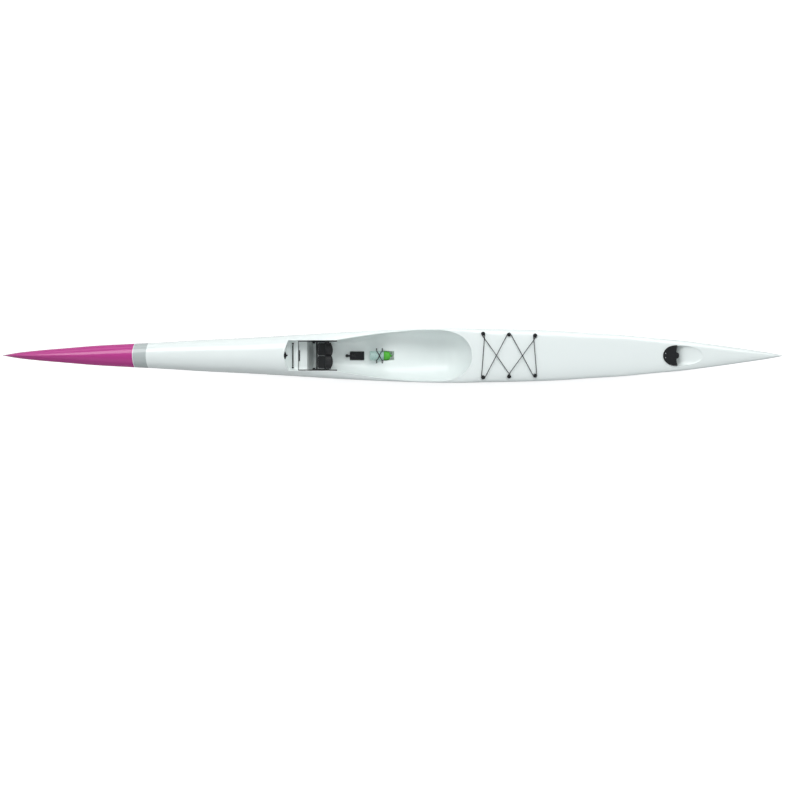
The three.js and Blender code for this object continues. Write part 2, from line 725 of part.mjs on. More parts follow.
// Footplate: heel board, cross bar and two cheeks that run between the tracks.
const cheekInner = footwellHalfWidth - trackDepth - cheekGap - cheekThickness;
const cheekMiddle = cheekInner + cheekThickness / 2;
const hingePlace = heelPlace - heelBoardRun;
const hingeHeight = heelHeight + heelBoardRise + axleRise;
const boardTop = [hingePlace, heelHeight + heelBoardRise];
const cheekFoot = [heelPlace - heelLobeReach, heelHeight + heelLobeReach * heelBoardRise / heelBoardRun];
const cheekOutline = [
  [cheekFoot[0] + cheekMargin / 2, cheekFoot[1] - cheekMargin / 2],
  [cheekFoot[0] + cheekMargin, cheekFoot[1] + cheekMargin],
  [hingePlace + cheekMargin, hingeHeight + cheekMargin],
  [hingePlace, trackCentreHeight + cheekMargin],
  [clampPlace - cheekMargin, trackCentreHeight + cheekMargin],
  [clampPlace - cheekMargin, trackCentreHeight - cheekMargin],
  [hingePlace - cheekMargin, boardTop[1] - cheekMargin],
  [cheekFoot[0] - cheekMargin, cheekFoot[1] - cheekMargin / 2],
];
const boardSlope = Math.hypot(heelBoardRun, heelBoardRise);
const boardAcross = [heelBoardRise, heelBoardRun].map((run) => heelBoardThickness * run / boardSlope);
const boardOutline = [
  [heelPlace, heelHeight],
  [boardTop[0] + boardAcross[0], boardTop[1] + boardAcross[1] - heelBoardThickness],
  [boardTop[0], boardTop[1] - heelBoardThickness],
  [heelPlace - boardAcross[0], heelHeight - boardAcross[1]],
];

// The heel board's plan: a round lobe for each heel, which meet in a notch on the centreline.
const heelLobeMiddleShare = 0.42;
const heelLobeHalfShare = 0.6;
const heelLobeSteps = 8;
const boardHalfWidth = cheekInner + cheekThickness / 2;
function heelPlan() {
  const inner = -Math.asin(heelLobeMiddleShare / heelLobeHalfShare);
  const outer = Math.asin((1 - heelLobeMiddleShare) / heelLobeHalfShare);
  const lobe = Array.from({ length: heelLobeSteps + 1 }, (_, step) => {
    const angle = inner + (outer - inner) * step / heelLobeSteps;
    const across = heelLobeMiddleShare + heelLobeHalfShare * Math.sin(angle);
    return [heelPlace - heelLobeReach * (1 - Math.cos(angle)), boardHalfWidth * across];
  });
  const fore = hingePlace - 2 * cheekMargin;
  const half = [...lobe, [fore, boardHalfWidth]];
  return [...half, ...half.slice(1).map(([x, y]) => [x, -y]).reverse()];
}
let footplate = sidePlate(boardOutline, 2 * boardHalfWidth, 0)
  .intersect(deckPlate(heelPlan(), trackCentreHeight, 0))
  .add(rod(crossBarRadius, 2 * cheekInner + cheekThickness, crossBarPlace, 0, trackCentreHeight));
for (const [, sign] of eachSide) {
  footplate = footplate.add(sidePlate(cheekOutline, cheekThickness, sign * cheekMiddle));
}
footplate = footplate
  .subtract(rod(axleRadius + bondGap, 2 * footwellHalfWidth, hingePlace, 0, hingeHeight))
  .subtract(rod(clampRadius + bondGap, 2 * footwellHalfWidth, clampPlace, 0, trackCentreHeight));
const travelSteps = 10;
for (let step = 0; step <= travelSteps; step += 1) {
  const shift = plateForward - (plateForward + plateBack) * step / travelSteps;
  footplate = footplate.intersect(cockpitRoom.translate(shift, 0, runningGap));
}
footplate = footplate.intersect(cockpitRoom.translate(0, 0, runningGap));
addSolid('footplate', footplate, blackPlastic);
addSolid('pedal_axle', rod(axleRadius, 2 * (cheekInner + cheekThickness), hingePlace, 0, hingeHeight), steel);

// Clamp knobs, each on a stud that runs in its track's slot.
const knobHubShare = 0.7;
const knobLobeShare = 0.4;
for (const [side, sign] of eachSide) {
  const from = cheekInner - clampKnobLength;
  const to = footwellHalfWidth - trackDepth + clampBite;
  const knobY = sign * (cheekInner - clampKnobLength / 2 - bondGap);
  let clamp = rod(clampRadius, to - from, clampPlace, sign * (from + to) / 2, trackCentreHeight)
    .add(rod(clampKnobRadius * knobHubShare, clampKnobLength, clampPlace, knobY, trackCentreHeight));
  for (let lobe = 0; lobe < clampLobes; lobe += 1) {
    const angle = Math.PI * 2 * lobe / clampLobes;
    const out = clampKnobRadius * (1 - knobLobeShare);
    const lobeX = clampPlace + Math.cos(angle) * out;
    const lobeZ = trackCentreHeight + Math.sin(angle) * out;
    clamp = clamp.add(rod(clampKnobRadius * knobLobeShare, clampKnobLength, lobeX, knobY, lobeZ, smallSides));
  }
  addSolid(`clamp_knob_${side}`, clamp, blackPlastic);
}

// Pedals: a board with round top corners on a hinge barrel.
const pedalInner = pedalSideGap / 2;
const pedalOuter = cheekInner - pedalSideGap;
const pedalWidth = pedalOuter - pedalInner;
function pedalOutline() {
  const shape = new THREE.Shape();
  const half = pedalWidth / 2;
  shape.moveTo(-half, 0);
  shape.lineTo(half, 0);
  shape.lineTo(half, pedalReach - pedalCornerRadius);
  shape.quadraticCurveTo(half, pedalReach, half - pedalCornerRadius, pedalReach);
  shape.lineTo(pedalCornerRadius - half, pedalReach);
  shape.quadraticCurveTo(-half, pedalReach, -half, pedalReach - pedalCornerRadius);
  return shape;
}
for (const [side, sign] of eachSide) {
  const middle = sign * (pedalInner + pedalOuter) / 2;
  const plate = new THREE.ExtrudeGeometry(pedalOutline(), {
    depth: pedalThickness,
    bevelEnabled: false,
    curveSegments: cornerSteps,
  });
  plate.translate(0, 0, -pedalThickness / 2).rotateX(Math.PI / 2).rotateZ(Math.PI / 2);
  plate.rotateY(-THREE.MathUtils.degToRad(pedalLean)).translate(hingePlace, middle, hingeHeight);
  const barrel = rod(pedalHubRadius, pedalWidth, hingePlace, middle, hingeHeight);
  const bore = rod(axleRadius + bondGap, 2 * pedalWidth, hingePlace, middle, hingeHeight);
  addSolid(`pedal_${side}`, solidOf(plate).add(barrel).subtract(bore), blackPlastic);
}

// Foot strap: webbing that arches over each foot and is caught at the middle.
const strapFoot = heelHeight + (heelPlace - strapPlace + strapWidth / 2) / heelBoardRun * heelBoardRise;
const strapHalf = cheekInner - bondGap;
const strapArch = [
  [0, 0.12], [0.12, 0.3], [0.25, 0.78], [0.42, 1], [0.62, 1], [0.82, 0.86], [0.94, 0.6], [1, 0.2],
];
const strapLine = [...strapArch.slice(1).reverse().map(([y, z]) => [-y, z]), ...strapArch]
  .map(([y, z]) => [y * strapHalf, strapFoot + heelBoardThickness + z * strapRise]);
const strapUnder = strapLine.map(([y, z]) => [y * strapInnerShare(y), z - strapThickness]).reverse();
const strapShape = new THREE.Shape([...strapLine, ...strapUnder].map(([y, z]) => new THREE.Vector2(y, z)));
function strapInnerShare(y) {
  return Math.abs(y) > strapHalf / 2 ? 1 - strapThickness / strapHalf : 1;
}
const strapBand = new THREE.ExtrudeGeometry(strapShape, { depth: strapWidth, bevelEnabled: false });
strapBand.rotateX(Math.PI / 2).rotateZ(Math.PI / 2).translate(strapPlace - strapWidth / 2, 0, 0);
addSolid('foot_strap', solidOf(strapBand), webbing);

// Front elastic strap across the ledge, with a moulded hook at each end, and the lip grip.
const ledgeSeat = frontLedgeHeight + bondGap;
const strapBarHeight = ledgeSeat + strapBarRadius + hookHeight / 2;
const strapBarHalf = strapBarHalfLength - hookRadius;
const strapBarLength = 2 * strapBarHalf - 2 * bondGap;
const strapBar = rod(strapBarRadius, strapBarLength, strapBarPlace, 0, strapBarHeight, smallSides);
addSolid('front_elastic', strapBar, elasticCover);
for (const [side, sign] of eachSide) {
  const hook = post(hookRadius, hookHeight, strapBarPlace, sign * strapBarHalfLength, ledgeSeat, hookSides);
  addSolid(`elastic_hook_${side}`, hook.intersect(cockpitRoom), blackPlastic);
}
addSolid(
  'lip_grip',
  rod(
    gripRadius,
    gripWidth,
    frontLedgeEnd + gripRadius + laminate,
    0,
    stepHeight + gripRadius + bondGap,
    hookSides,
  ),
  rubber,
);

// Self-bailer: frame with its chute, gasket, flap, lever and pin.
const drainHeightShare = 0.6;
const earHeightShare = 1.5;
const bailerSeat = bailerFloor + gasketThickness + 2 * bondGap;
const chuteBottom = keelAt(bailerPlace) + flapThickness + flapGap + laminate / 4;
const frameMiddle = bailerSeat + bailerHeight / 2;
const frameBox = block(bailerLength, bailerWidth, bailerHeight, bailerPlace, 0, frameMiddle);
const chuteHeight = frameMiddle - chuteBottom;
const chute = block(
  chuteLength + 2 * chuteWall,
  chuteWidth + 2 * chuteWall,
  chuteHeight,
  bailerPlace,
  0,
  chuteBottom + chuteHeight / 2,
);
const mouthLength = chuteLength / 2;
const mouthPlace = bailerPlace + chuteLength / 2 - mouthLength / 2;
const drainHeight = bailerHeight * drainHeightShare;
const drainMiddle = bailerSeat + drainHeight - chuteHeight;
const drain = block(chuteLength, chuteWidth, chuteHeight * 2, bailerPlace, 0, drainMiddle);
const mouthMiddle = mouthPlace + bailerLength / 2;
const mouth = block(bailerLength, chuteWidth, drainHeight, mouthMiddle, 0, bailerSeat + drainHeight / 2);
const leverHinge = [bailerPlace - chuteLength / 4, bailerSeat + bailerHeight + leverThickness / 2 + flapGap];
let bailerFrame = frameBox.add(chute).subtract(drain).subtract(mouth);
for (const [, sign] of eachSide) {
  const ear = block(
    leverThickness * 2,
    leverEarThickness,
    leverThickness * earHeightShare + flapGap,
    leverHinge[0],
    sign * (leverWidth / 2 + leverEarThickness / 2 + flapGap),
    bailerSeat + bailerHeight + leverThickness * earHeightShare / 2,
  );
  bailerFrame = bailerFrame.add(ear);
}
const pinRoom = bailerPinRadius + bondGap;
const leverPinHole = rod(pinRoom, 2 * bailerWidth, leverHinge[0], 0, leverHinge[1], smallSides);
addSolid('bailer_frame', bailerFrame.subtract(leverPinHole), blackPlastic);
const gasketPlate = block(
  bailerLength + 2 * gasketMargin,
  bailerWidth + 2 * gasketMargin,
  gasketThickness * 3,
  bailerPlace,
  0,
  bailerFloor + bondGap - gasketThickness / 2,
);
addSolid('bailer_gasket', gasketPlate.intersect(cockpitRoom).subtract(chuteHole), rubber);
const leverFront = leverHinge[0] - leverLength;
const leverMiddle = leverHinge[0] - leverLength / 2;
const lever = block(leverLength, leverWidth, leverThickness, leverMiddle, 0, leverHinge[1])
  .add(rod(leverThickness / 2, leverWidth, leverHinge[0], 0, leverHinge[1]))
  .add(post(leverKnobRadius, leverKnobHeight, leverFront, 0, leverHinge[1] - leverKnobHeight / 2))
  .subtract(leverPinHole);
addSolid('bailer_lever', lever, blackPlastic);
const pinLength = leverWidth + 2 * leverEarThickness + 2 * flapGap;
const pin = rod(bailerPinRadius, pinLength, leverHinge[0], 0, leverHinge[1], smallSides);
addSolid('bailer_pin', pin, steel);
const flap = block(
  chuteLength + 2 * chuteWall - 2 * flapSideGap,
  chuteWidth + 2 * chuteWall - 2 * flapSideGap,
  flapThickness,
  bailerPlace,
  0,
  chuteBottom - flapGap - flapThickness / 2,
);
addSolid('bailer_flap', flap, blackPlastic);

// Drink bottle lying in the recess, cap aft, under two crossed elastic cords.
const bottleLieHeight = bottleAxisHeight - bottlePlay + 2 * bondGap;
const bottleEnd = bottleCentre - (bottleBodyLength + bottleCapLength + valveLength) / 2;
// Each outline runs from the front end aft, as a share of the length and a share of the radius.
const bottleShares = [
  [0, 0], [0, 0.92], [0.03, 1], [0.42, 1], [0.48, 0.96], [0.54, 1], [0.82, 1], [0.93, 0.9], [1, 0.78], [1, 0],
];
const capShares = [[0, 0], [0, 1], [0.5, 1], [0.76, 0.92], [0.92, 0.74], [1, 0.45], [1, 0]];
const valveShares = [[0, 0], [0, 1], [0.7, 1], [1, 0.7], [1, 0]];
function turnedOutline(shares, start, length, radius) {
  return shares.map(([along, out]) => [radius * out, start + length * along]);
}
const bottleProfile = turnedOutline(bottleShares, 0, bottleBodyLength, bottleRadius);
const capStart = bottleBodyLength + bondGap;
const capProfile = turnedOutline(capShares, capStart, bottleCapLength, bottleCapRadius);
const valveStart = capStart + bottleCapLength + bondGap;
const valveProfile = turnedOutline(valveShares, valveStart, valveLength, valveRadius);
function lyingTurned(profile, sides) {
  const points = profile.map(([radius, height]) => new THREE.Vector2(radius, height));
  const geometry = new THREE.LatheGeometry(points, sides).rotateZ(-Math.PI / 2);
  return solidOf(geometry.translate(bottleEnd, 0, bottleLieHeight));
}
addSolid('drink_bottle', lyingTurned(bottleProfile, bottleSides), clearTeal);
addSolid('bottle_cap', lyingTurned(capProfile, capSides), greenCap);
addSolid('bottle_valve', lyingTurned(valveProfile, smallSides), greenCap);
const holdCordSteps = 12;
const holdArcStart = 0.14;
const overpassPower = 4;
const cordEyeRadius = 5;
const cordEyeHeight = 9;
const cordEyeSpan = 53;
let eyeCount = 0;
for (const [i, name] of ['bottle_cord_1', 'bottle_cord_2'].entries()) {
  const lean = i === 0 ? 1 : -1;
  const ends = [1, -1].map((sign) => [holdCordPlace - lean * sign * holdCordSpread, sign]);
  const feet = ends.map(([x, sign]) => {
    const floor = cockpitFloorAt(x, cordEyeSpan, 0);
    eyeCount += 1;
    const eyeFoot = floor - cordEyeHeight;
    const eye = post(cordEyeRadius, cordEyeHeight * 2, x, sign * cordEyeSpan, eyeFoot, smallSides);
    addSolid(`cord_eye_${eyeCount}`, eye.intersect(cockpitRoom), blackPlastic);
    return [x, sign * (cordEyeSpan - cordEyeRadius - bondGap), floor + cordEyeHeight / 2];
  });
  const arc = Array.from({ length: holdCordSteps + 1 }, (_, step) => {
    const share = step / holdCordSteps;
    const angle = Math.PI * (holdArcStart + (1 - 2 * holdArcStart) * share);
    const overpass = i * (2 * holdCordRadius + 2 * bondGap) * Math.sin(angle) ** overpassPower;
    const reach = bottleRadius + holdCordRadius + 2 * bondGap + overpass;
    return [
      holdCordPlace + lean * holdCordSpread * (2 * share - 1),
      reach * Math.cos(angle),
      bottleLieHeight + reach * Math.sin(angle),
    ];
  });
  const knees = feet.map(([x, y, z]) => [x, y - Math.sign(y) * holdCordRadius * 2, z]);
  addSolid(name, cord([feet[0], knees[0], ...arc, knees[1], feet[1]], holdCordRadius), elasticCover);
}

// What stands on the deck, up to its seat on the deck's outside.
const raisedBody = body.translate(0, 0, bondGap);

// Bungee knobs, three rows of two, and the elastic laced between them.
const knobRim = 3;
const knobFlare = 2;
const knobCrown = 1;
const knobTopShare = 0.8;
const knobSunkShare = 1.5;
const knobGrip = deckKnobHeight - knobRim;
const knobPlaces = [];
for (let row = 0; row < knobRows; row += 1) {
  const x = knobFirst + row * knobPitch;
  const halfSpan = knobFirstHalfSpan + (knobLastHalfSpan - knobFirstHalfSpan) * row / (knobRows - 1);
  for (const [side, sign] of eachSide) {
    const y = sign * halfSpan;
    const seat = deckHeightAt(x, halfSpan);
    const sunk = deckKnobHeight * knobSunkShare;
    const knob = turned([
      [0, -sunk],
      [deckKnobNeckRadius, -sunk],
      [deckKnobNeckRadius, knobGrip - knobFlare],
      [deckKnobRadius, knobGrip],
      [deckKnobRadius * knobTopShare, deckKnobHeight],
      [0, deckKnobHeight + knobCrown],
    ], x, y, seat, knobSides);
    addSolid(`bungee_knob_${side}_${row + 1}`, knob.subtract(raisedBody), blackPlastic);
    knobPlaces.push({ x, y, seat, key: `${side}${row + 1}` });
  }
}
const knobAt = (key) => knobPlaces.find((place) => place.key === key);
const lacing = [
  ['starboard1', 'port1', 0], ['port1', 'starboard2', 1], ['starboard2', 'port3', 0],
  ['port3', 'starboard3', 0], ['starboard3', 'port2', 1], ['port2', 'starboard1', 0],
];
const elasticSlack = 1.2;
const elasticClear = 1;
const elasticTurn = deckKnobNeckRadius + elasticRadius + bondGap + elasticSlack;
const runSteps = 7;
const turnStepAngle = Math.PI / 7;
function elasticSeat(x, y) {
  return deckHeightAt(x, Math.abs(y)) + elasticRadius + elasticClear;
}
function elasticPoints() {
  const points = [];
  for (const [i, [fromKey, toKey, over]] of lacing.entries()) {
    const from = knobAt(fromKey);
    const to = knobAt(toKey);
    const ways = new THREE.Vector2(to.x - from.x, to.y - from.y).normalize();
    const turn = Math.sign(from.y);
    const side = new THREE.Vector2(-ways.y, ways.x).multiplyScalar(elasticTurn * turn);
    const start = [from.x + side.x, from.y + side.y];
    const end = [to.x - side.x, to.y - side.y];
    for (let step = 0; step <= runSteps; step += 1) {
      const t = step / runSteps;
      const x = start[0] + (end[0] - start[0]) * t;
      const y = start[1] + (end[1] - start[1]) * t;
      const arch = Math.sin(Math.PI * t);
      const rise = elasticRise + over * (2 * elasticRadius + elasticClear);
      points.push([x, y, elasticSeat(x, y) + rise * arch]);
    }
    if (i === lacing.length - 1) break;
    const next = lacing[i + 1];
    const beyond = knobAt(next[1]);
    const nextWay = new THREE.Vector2(beyond.x - to.x, beyond.y - to.y).normalize();
    const outward = Math.sign(to.y);
    const nextSide = new THREE.Vector2(-nextWay.y, nextWay.x).multiplyScalar(outward);
    const fromAngle = Math.atan2(-side.y, -side.x);
    let sweep = Math.atan2(nextSide.y, nextSide.x) - fromAngle;
    while (sweep * outward > 0) sweep -= outward * 2 * Math.PI;
    while (sweep * outward < -2 * Math.PI) sweep += outward * 2 * Math.PI;
    const turnSteps = Math.ceil(Math.abs(sweep) / turnStepAngle);
    for (let step = 1; step < turnSteps; step += 1) {
      const angle = fromAngle + sweep * step / turnSteps;
      const x = to.x + elasticTurn * Math.cos(angle);
      const y = to.y + elasticTurn * Math.sin(angle);
      points.push([x, y, Math.max(elasticSeat(x, y), to.seat + elasticRadius)]);
    }
  }
  return points;
}
addSolid('bungee_cord', cord(elasticPoints(), elasticRadius), elasticCover);

// Leash cleat at the cockpit's front lip: a stem on the front wall with three horns.
const cleatTop = crownAt(cockpitFront);
const cleatStem = block(
  cleatLength / 2,
  cleatThickness * 2,
  cleatHeight,
  cockpitFront + bondGap + cleatLength / 4,
  0,
  cleatTop - cleatHeight / 2,
);
const cleatHalfShares = [[0, 0.25], [0.25, 1], [0.45, 1], [0.7, 0.25], [1, 0.12]];
const cleatHalf = cleatHalfShares.map(([along, out]) => [
  cockpitFront + bondGap + along * (cleatLength - bondGap),
  out * cleatSpan / 2,
]);
const cleatOutline = [...cleatHalf, ...cleatHalf.map(([x, y]) => [x, -y]).reverse()];
const cleatHorns = deckPlate(cleatOutline, cleatThickness, cleatTop - cleatThickness);
const cleat = cleatStem.add(cleatHorns).subtract(cockpitShell.translate(bondGap, 0, 0));
addSolid('leash_cleat', cleat, blackPlastic);

// Rudder gear: tube with two bushes, stock, blade, yoke and nut.
const stockBottom = keelAt(rudderStockPlace) - rudderHullGap - stockInBlade;
const yokeHeight = wellFloor + tubeWall + bondGap * 2;
const nutFloor = yokeHeight + yokeThickness + bondGap;
const stockTop = nutFloor + nutHeight + 2 * bondGap;
const tubeBottom = keelAt(rudderStockPlace);
const tubeTop = wellFloor + tubeWall;
function ring(outer, inner, from, to) {
  const height = to - from;
  const hole = post(inner, height * 2, rudderStockPlace, 0, from - height / 2);
  return post(outer, height, rudderStockPlace, 0, from).subtract(hole);
}
addSolid('rudder_tube', ring(tubeOuter, tubeInner, tubeBottom, tubeTop), tubePlastic);
const bushInner = rudderStockRadius + runningGap;
addSolid('lower_bush', ring(bushOuter, bushInner, tubeBottom, tubeBottom + bushHeight), blackPlastic);
addSolid('upper_bush', ring(bushOuter, bushInner, tubeTop - bushHeight, tubeTop), blackPlastic);
const stock = post(rudderStockRadius, stockTop - stockBottom, rudderStockPlace, 0, stockBottom);
addSolid('rudder_stock', stock, steel);

// The blade is a loft of thin foils, each [drop, leading edge, trailing edge] in shares.
const bladeShares = [
  [0, 0, 1], [0.1, 0.1, 1.045], [0.28, 0.27, 1.12], [0.46, 0.43, 1.2], [0.62, 0.58, 1.26],
  [0.76, 0.72, 1.295],
  [0.88, 0.87, 1.29], [0.96, 1.01, 1.26], [1, 1.13, 1.2],
];
const bladeTaperShare = 0.55;
const foilShares = [[0, 0], [0.06, 0.62], [0.25, 1], [0.55, 0.8], [0.8, 0.42], [1, 0.06]];
const bladeLead = rudderStockPlace - rudderRootLead;
const bladeRings = bladeShares.map(([drop, lead, trail]) => {
  const chord = (trail - lead) * rudderRootChord;
  const thickness = rudderThickness / 2 * (1 - bladeTaperShare * drop);
  const front = bladeLead + lead * rudderRootChord;
  const half = foilShares.map(([along, out]) => {
    const x = front + along * chord;
    const z = keelAt(x) * (1 - drop) + keelAt(rudderStockPlace) * drop - rudderHullGap - drop * rudderDepth;
    return [x, Math.max(thickness * out, stemHalfWidth / 8), z];
  });
  return [...half, ...half.map((point) => [point[0], -point[1], point[2]]).reverse()];
});
let blade = loft(bladeRings);
if (solidOf(blade).volume() < 0) {
  const turnedIndex = Array.from(blade.index.array);
  for (let i = 0; i < turnedIndex.length; i += 3) {
    [turnedIndex[i + 1], turnedIndex[i + 2]] = [turnedIndex[i + 2], turnedIndex[i + 1]];
  }
  blade.setIndex(turnedIndex);
}
const stockRoom = post(
  rudderStockRadius + bondGap,
  stockInBlade * 2 + bondGap,
  rudderStockPlace,
  0,
  stockBottom - bondGap,
);
addSolid('rudder_blade', solidOf(blade).subtract(stockRoom), blackPlastic);
const yokeHole = post(rudderStockRadius + bondGap, bowHeight, rudderStockPlace, 0, 0);
const yoke = block(yokeWidth, yokeSpan, yokeThickness, rudderStockPlace, 0, yokeHeight + yokeThickness / 2)
  .add(post(yokeHubRadius, yokeThickness, rudderStockPlace, 0, yokeHeight));
addSolid('tiller_yoke', yoke.subtract(yokeHole), steel);
const nut = post(nutRadius, nutHeight, rudderStockPlace, 0, nutFloor, nutSides).subtract(yokeHole);
addSolid('yoke_nut', nut, steel);

// Guide tubes of the rudder lines, from the well forward under the deck to the footwell.
const lineRoute = [
  [wellFront - laminate - 2 * bondGap, 36, 166],
  [2050, 40, 160], [1980, 47, 150], [1880, 62, 138], [1760, 80, 128],
  [1620, 98, 119], [1460, 114, 112], [1280, 128, 106], [1100, 138, 100], [920, 144, 94], [740, 147, 87],
  [580, 148, 79], [440, 148, 70], [330, 148, 64], [220, 149, 64], [100, 150, 68], [-10, 150, 71],
  [-110, 150, 76], [-210, 150, 88], [-300, 149, 108], [-370, 144, 136], [-410, 136, 158], [-428, 128, 170],
];
for (const [side, sign] of eachSide) {
  const route = lineRoute.map(([x, y, z]) => [x, sign * y, z]);
  addSolid(`rudder_line_${side}`, cord(route, lineRadius), tubePlastic);
}

// Rudder cover, which is also the stern grip: a D with two horns and a middle tab aft.
const coverArcPower = 0.85;
const coverArcSteps = 9;
// The aft edge from the port horn to the middle, as shares of the tab's reach and of the half width.
const coverAftShares = [[0.24, 0.93], [-0.18, 0.62], [-0.3, 0.316], [0.6, 0.247], [1, 0.115]];
function coverOutline() {
  const frontReach = coverRear - coverFront;
  const front = Array.from({ length: 2 * coverArcSteps + 1 }, (_, i) => {
    const angle = Math.PI / 2 * (1 + i / coverArcSteps);
    const reach = frontReach * Math.abs(Math.cos(angle)) ** coverArcPower;
    return [coverRear - reach, coverHalfWidth * Math.sin(angle)];
  });
  const aft = coverAftShares.map(([reach, out]) => [coverRear + coverTabReach * reach, coverHalfWidth * out]);
  return [...front, ...aft.map(([x, y]) => [x, -y]), ...aft.reverse()];
}
let cover = deckPlate(coverOutline(), bowHeight, 0)
  .intersect(body.translate(0, 0, coverRise))
  .subtract(raisedBody);
for (const [i, [x, y]] of coverScrewPlaces.entries()) {
  const top = deckHeightAt(x, Math.abs(y)) + coverRise;
  cover = cover.subtract(post(coverScrewShankRadius + bondGap, bowHeight, x, y, 0));
  const shankLength = coverScrewLength + bondGap;
  const shank = post(coverScrewShankRadius, shankLength, x, y, top - coverScrewLength, smallSides);
  const head = post(coverScrewRadius, coverScrewHeadHeight, x, y, top + bondGap);
  addSolid(`cover_screw_${i + 1}`, shank.add(head), steel);
}
addSolid('rudder_cover', cover, blackPlastic);

export default surfski;
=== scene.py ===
# %% [markdown]
# # A surfski, dressed in Blender
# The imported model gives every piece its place, its size and its motion. This script
# only gives the pieces their fine surfaces, their materials, a camera and light.
# Everything is in metres: +X runs to the stern, +Y to starboard and +Z up.

# %% Load the frame and keep its box
import json
import math

import bpy
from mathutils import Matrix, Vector


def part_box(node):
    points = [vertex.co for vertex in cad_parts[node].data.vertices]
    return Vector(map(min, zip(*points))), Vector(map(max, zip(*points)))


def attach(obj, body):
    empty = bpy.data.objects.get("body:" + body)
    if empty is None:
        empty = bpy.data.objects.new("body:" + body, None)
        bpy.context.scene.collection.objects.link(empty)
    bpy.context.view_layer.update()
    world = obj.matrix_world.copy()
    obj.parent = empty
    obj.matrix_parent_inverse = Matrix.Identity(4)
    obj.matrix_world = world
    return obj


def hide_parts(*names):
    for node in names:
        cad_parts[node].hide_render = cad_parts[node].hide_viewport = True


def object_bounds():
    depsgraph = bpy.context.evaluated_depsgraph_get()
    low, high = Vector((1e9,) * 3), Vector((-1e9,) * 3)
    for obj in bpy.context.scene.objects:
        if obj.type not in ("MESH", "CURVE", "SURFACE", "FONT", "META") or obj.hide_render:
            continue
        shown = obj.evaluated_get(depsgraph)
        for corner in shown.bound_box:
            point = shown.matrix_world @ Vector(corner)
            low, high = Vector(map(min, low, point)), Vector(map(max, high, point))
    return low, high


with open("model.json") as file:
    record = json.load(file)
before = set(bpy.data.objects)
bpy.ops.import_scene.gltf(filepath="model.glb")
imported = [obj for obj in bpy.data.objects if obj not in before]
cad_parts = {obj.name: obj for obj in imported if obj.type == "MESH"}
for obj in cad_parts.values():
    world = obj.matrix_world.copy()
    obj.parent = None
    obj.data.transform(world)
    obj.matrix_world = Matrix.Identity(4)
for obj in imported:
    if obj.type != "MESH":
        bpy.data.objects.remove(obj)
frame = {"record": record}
cad_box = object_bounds()
print("CAD box", cad_box)

# %% [markdown]
# An operator acts on all that is selected, so nothing may stay selected from the piece
# before. The helpers below see to that. Others give a finished piece its smooth shading,
# its material, its moving body and the CAD nodes that it stands for.

# %% Helpers for selecting, finishing and placing a piece
MM = 0.001
DOUBLES_APART = 0.02 * MM
pieces_made = {}


def clear_selection():
    if bpy.context.object and bpy.context.object.mode != "OBJECT":
        bpy.ops.object.mode_set(mode="OBJECT")
    bpy.ops.object.select_all(action="DESELECT")


def pick(piece):
    clear_selection()
    piece.select_set(True)
    bpy.context.view_layer.objects.active = piece


def newest(name):
    piece = bpy.context.object
    piece.name = name
    piece.data.name = name
    return piece


def settle(piece):
    """Puts a piece's place into its mesh, so that its object sits at the origin."""
    pick(piece)
    bpy.ops.object.transform_apply(location=True, rotation=True, scale=True)
    return piece


def use_modifier(piece, kind, **settings):
    pick(piece)
    modifier = piece.modifiers.new(kind.lower(), kind)
    for key, value in settings.items():
        setattr(modifier, key, value)
    bpy.ops.object.modifier_apply(modifier=modifier.name)
    return piece


def round_edges(piece, width, segments=2, angle=35):
    use_modifier(piece, "BEVEL", width=width, segments=segments, limit_method="ANGLE",
                 angle_limit=math.radians(angle), use_clamp_overlap=True)
    return piece


def smooth(piece, angle=40):
    pick(piece)
    bpy.ops.object.shade_smooth_by_angle(angle=math.radians(angle))
    return piece


def on_all_faces(piece, operator, **settings):
    """Runs one edit mode operator on the whole mesh of a piece."""
    pick(piece)
    bpy.ops.object.mode_set(mode="EDIT")
    bpy.ops.mesh.select_all(action="SELECT")
    operator(**settings)
    bpy.ops.object.mode_set(mode="OBJECT")
    return piece


def face_out(piece):
    return on_all_faces(piece, bpy.ops.mesh.normals_make_consistent, inside=False)


def merge_doubles(piece):
    return on_all_faces(piece, bpy.ops.mesh.remove_doubles, threshold=DOUBLES_APART)


def join_pieces(pieces, name):
    clear_selection()
    for piece in pieces:
        piece.select_set(True)
    bpy.context.view_layer.objects.active = pieces[0]
    bpy.ops.object.join()
    return newest(name)


def cut(piece, cutter):
    use_modifier(piece, "BOOLEAN", object=cutter, operation="DIFFERENCE", solver="EXACT")
    bpy.data.objects.remove(cutter)
    return piece


def adopt(piece, body, slot, material, *nodes):
    """Gives a piece its material, its body and the CAD nodes that it stands for."""
    piece.data.materials.clear()
    piece.data.materials.append(material)
    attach(piece, body)
    if nodes:
        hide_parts(*nodes)
    pieces_made[piece.name] = len(piece.data.polygons)
    print(f"{piece.name}: {len(piece.data.polygons)} faces on {body}")
    return piece


print("helpers ready")

# %% [markdown]
# ## Camera, floor and light
# The photograph looks straight down at the boat with a long lens, so nothing leans.
# The boat's ends lie at two known pixels of the 800 pixel frame, which gives the scale,
# and its centreline lies a little above the middle.

# %% Camera
FRAME_PX = 800
BOW_PX = 3.5
STERN_PX = 783.0
CENTRELINE_PX = 355.6
CAMERA_DISTANCE = 40.0
SENSOR = 0.036

boat_length = cad_box[1][0] - cad_box[0][0]
metres_per_px = boat_length / (STERN_PX - BOW_PX)
view_middle_x = cad_box[0][0] + (FRAME_PX / 2 - BOW_PX) * metres_per_px
view_middle_y = (CENTRELINE_PX - FRAME_PX / 2) * metres_per_px
deck_level = 0.2

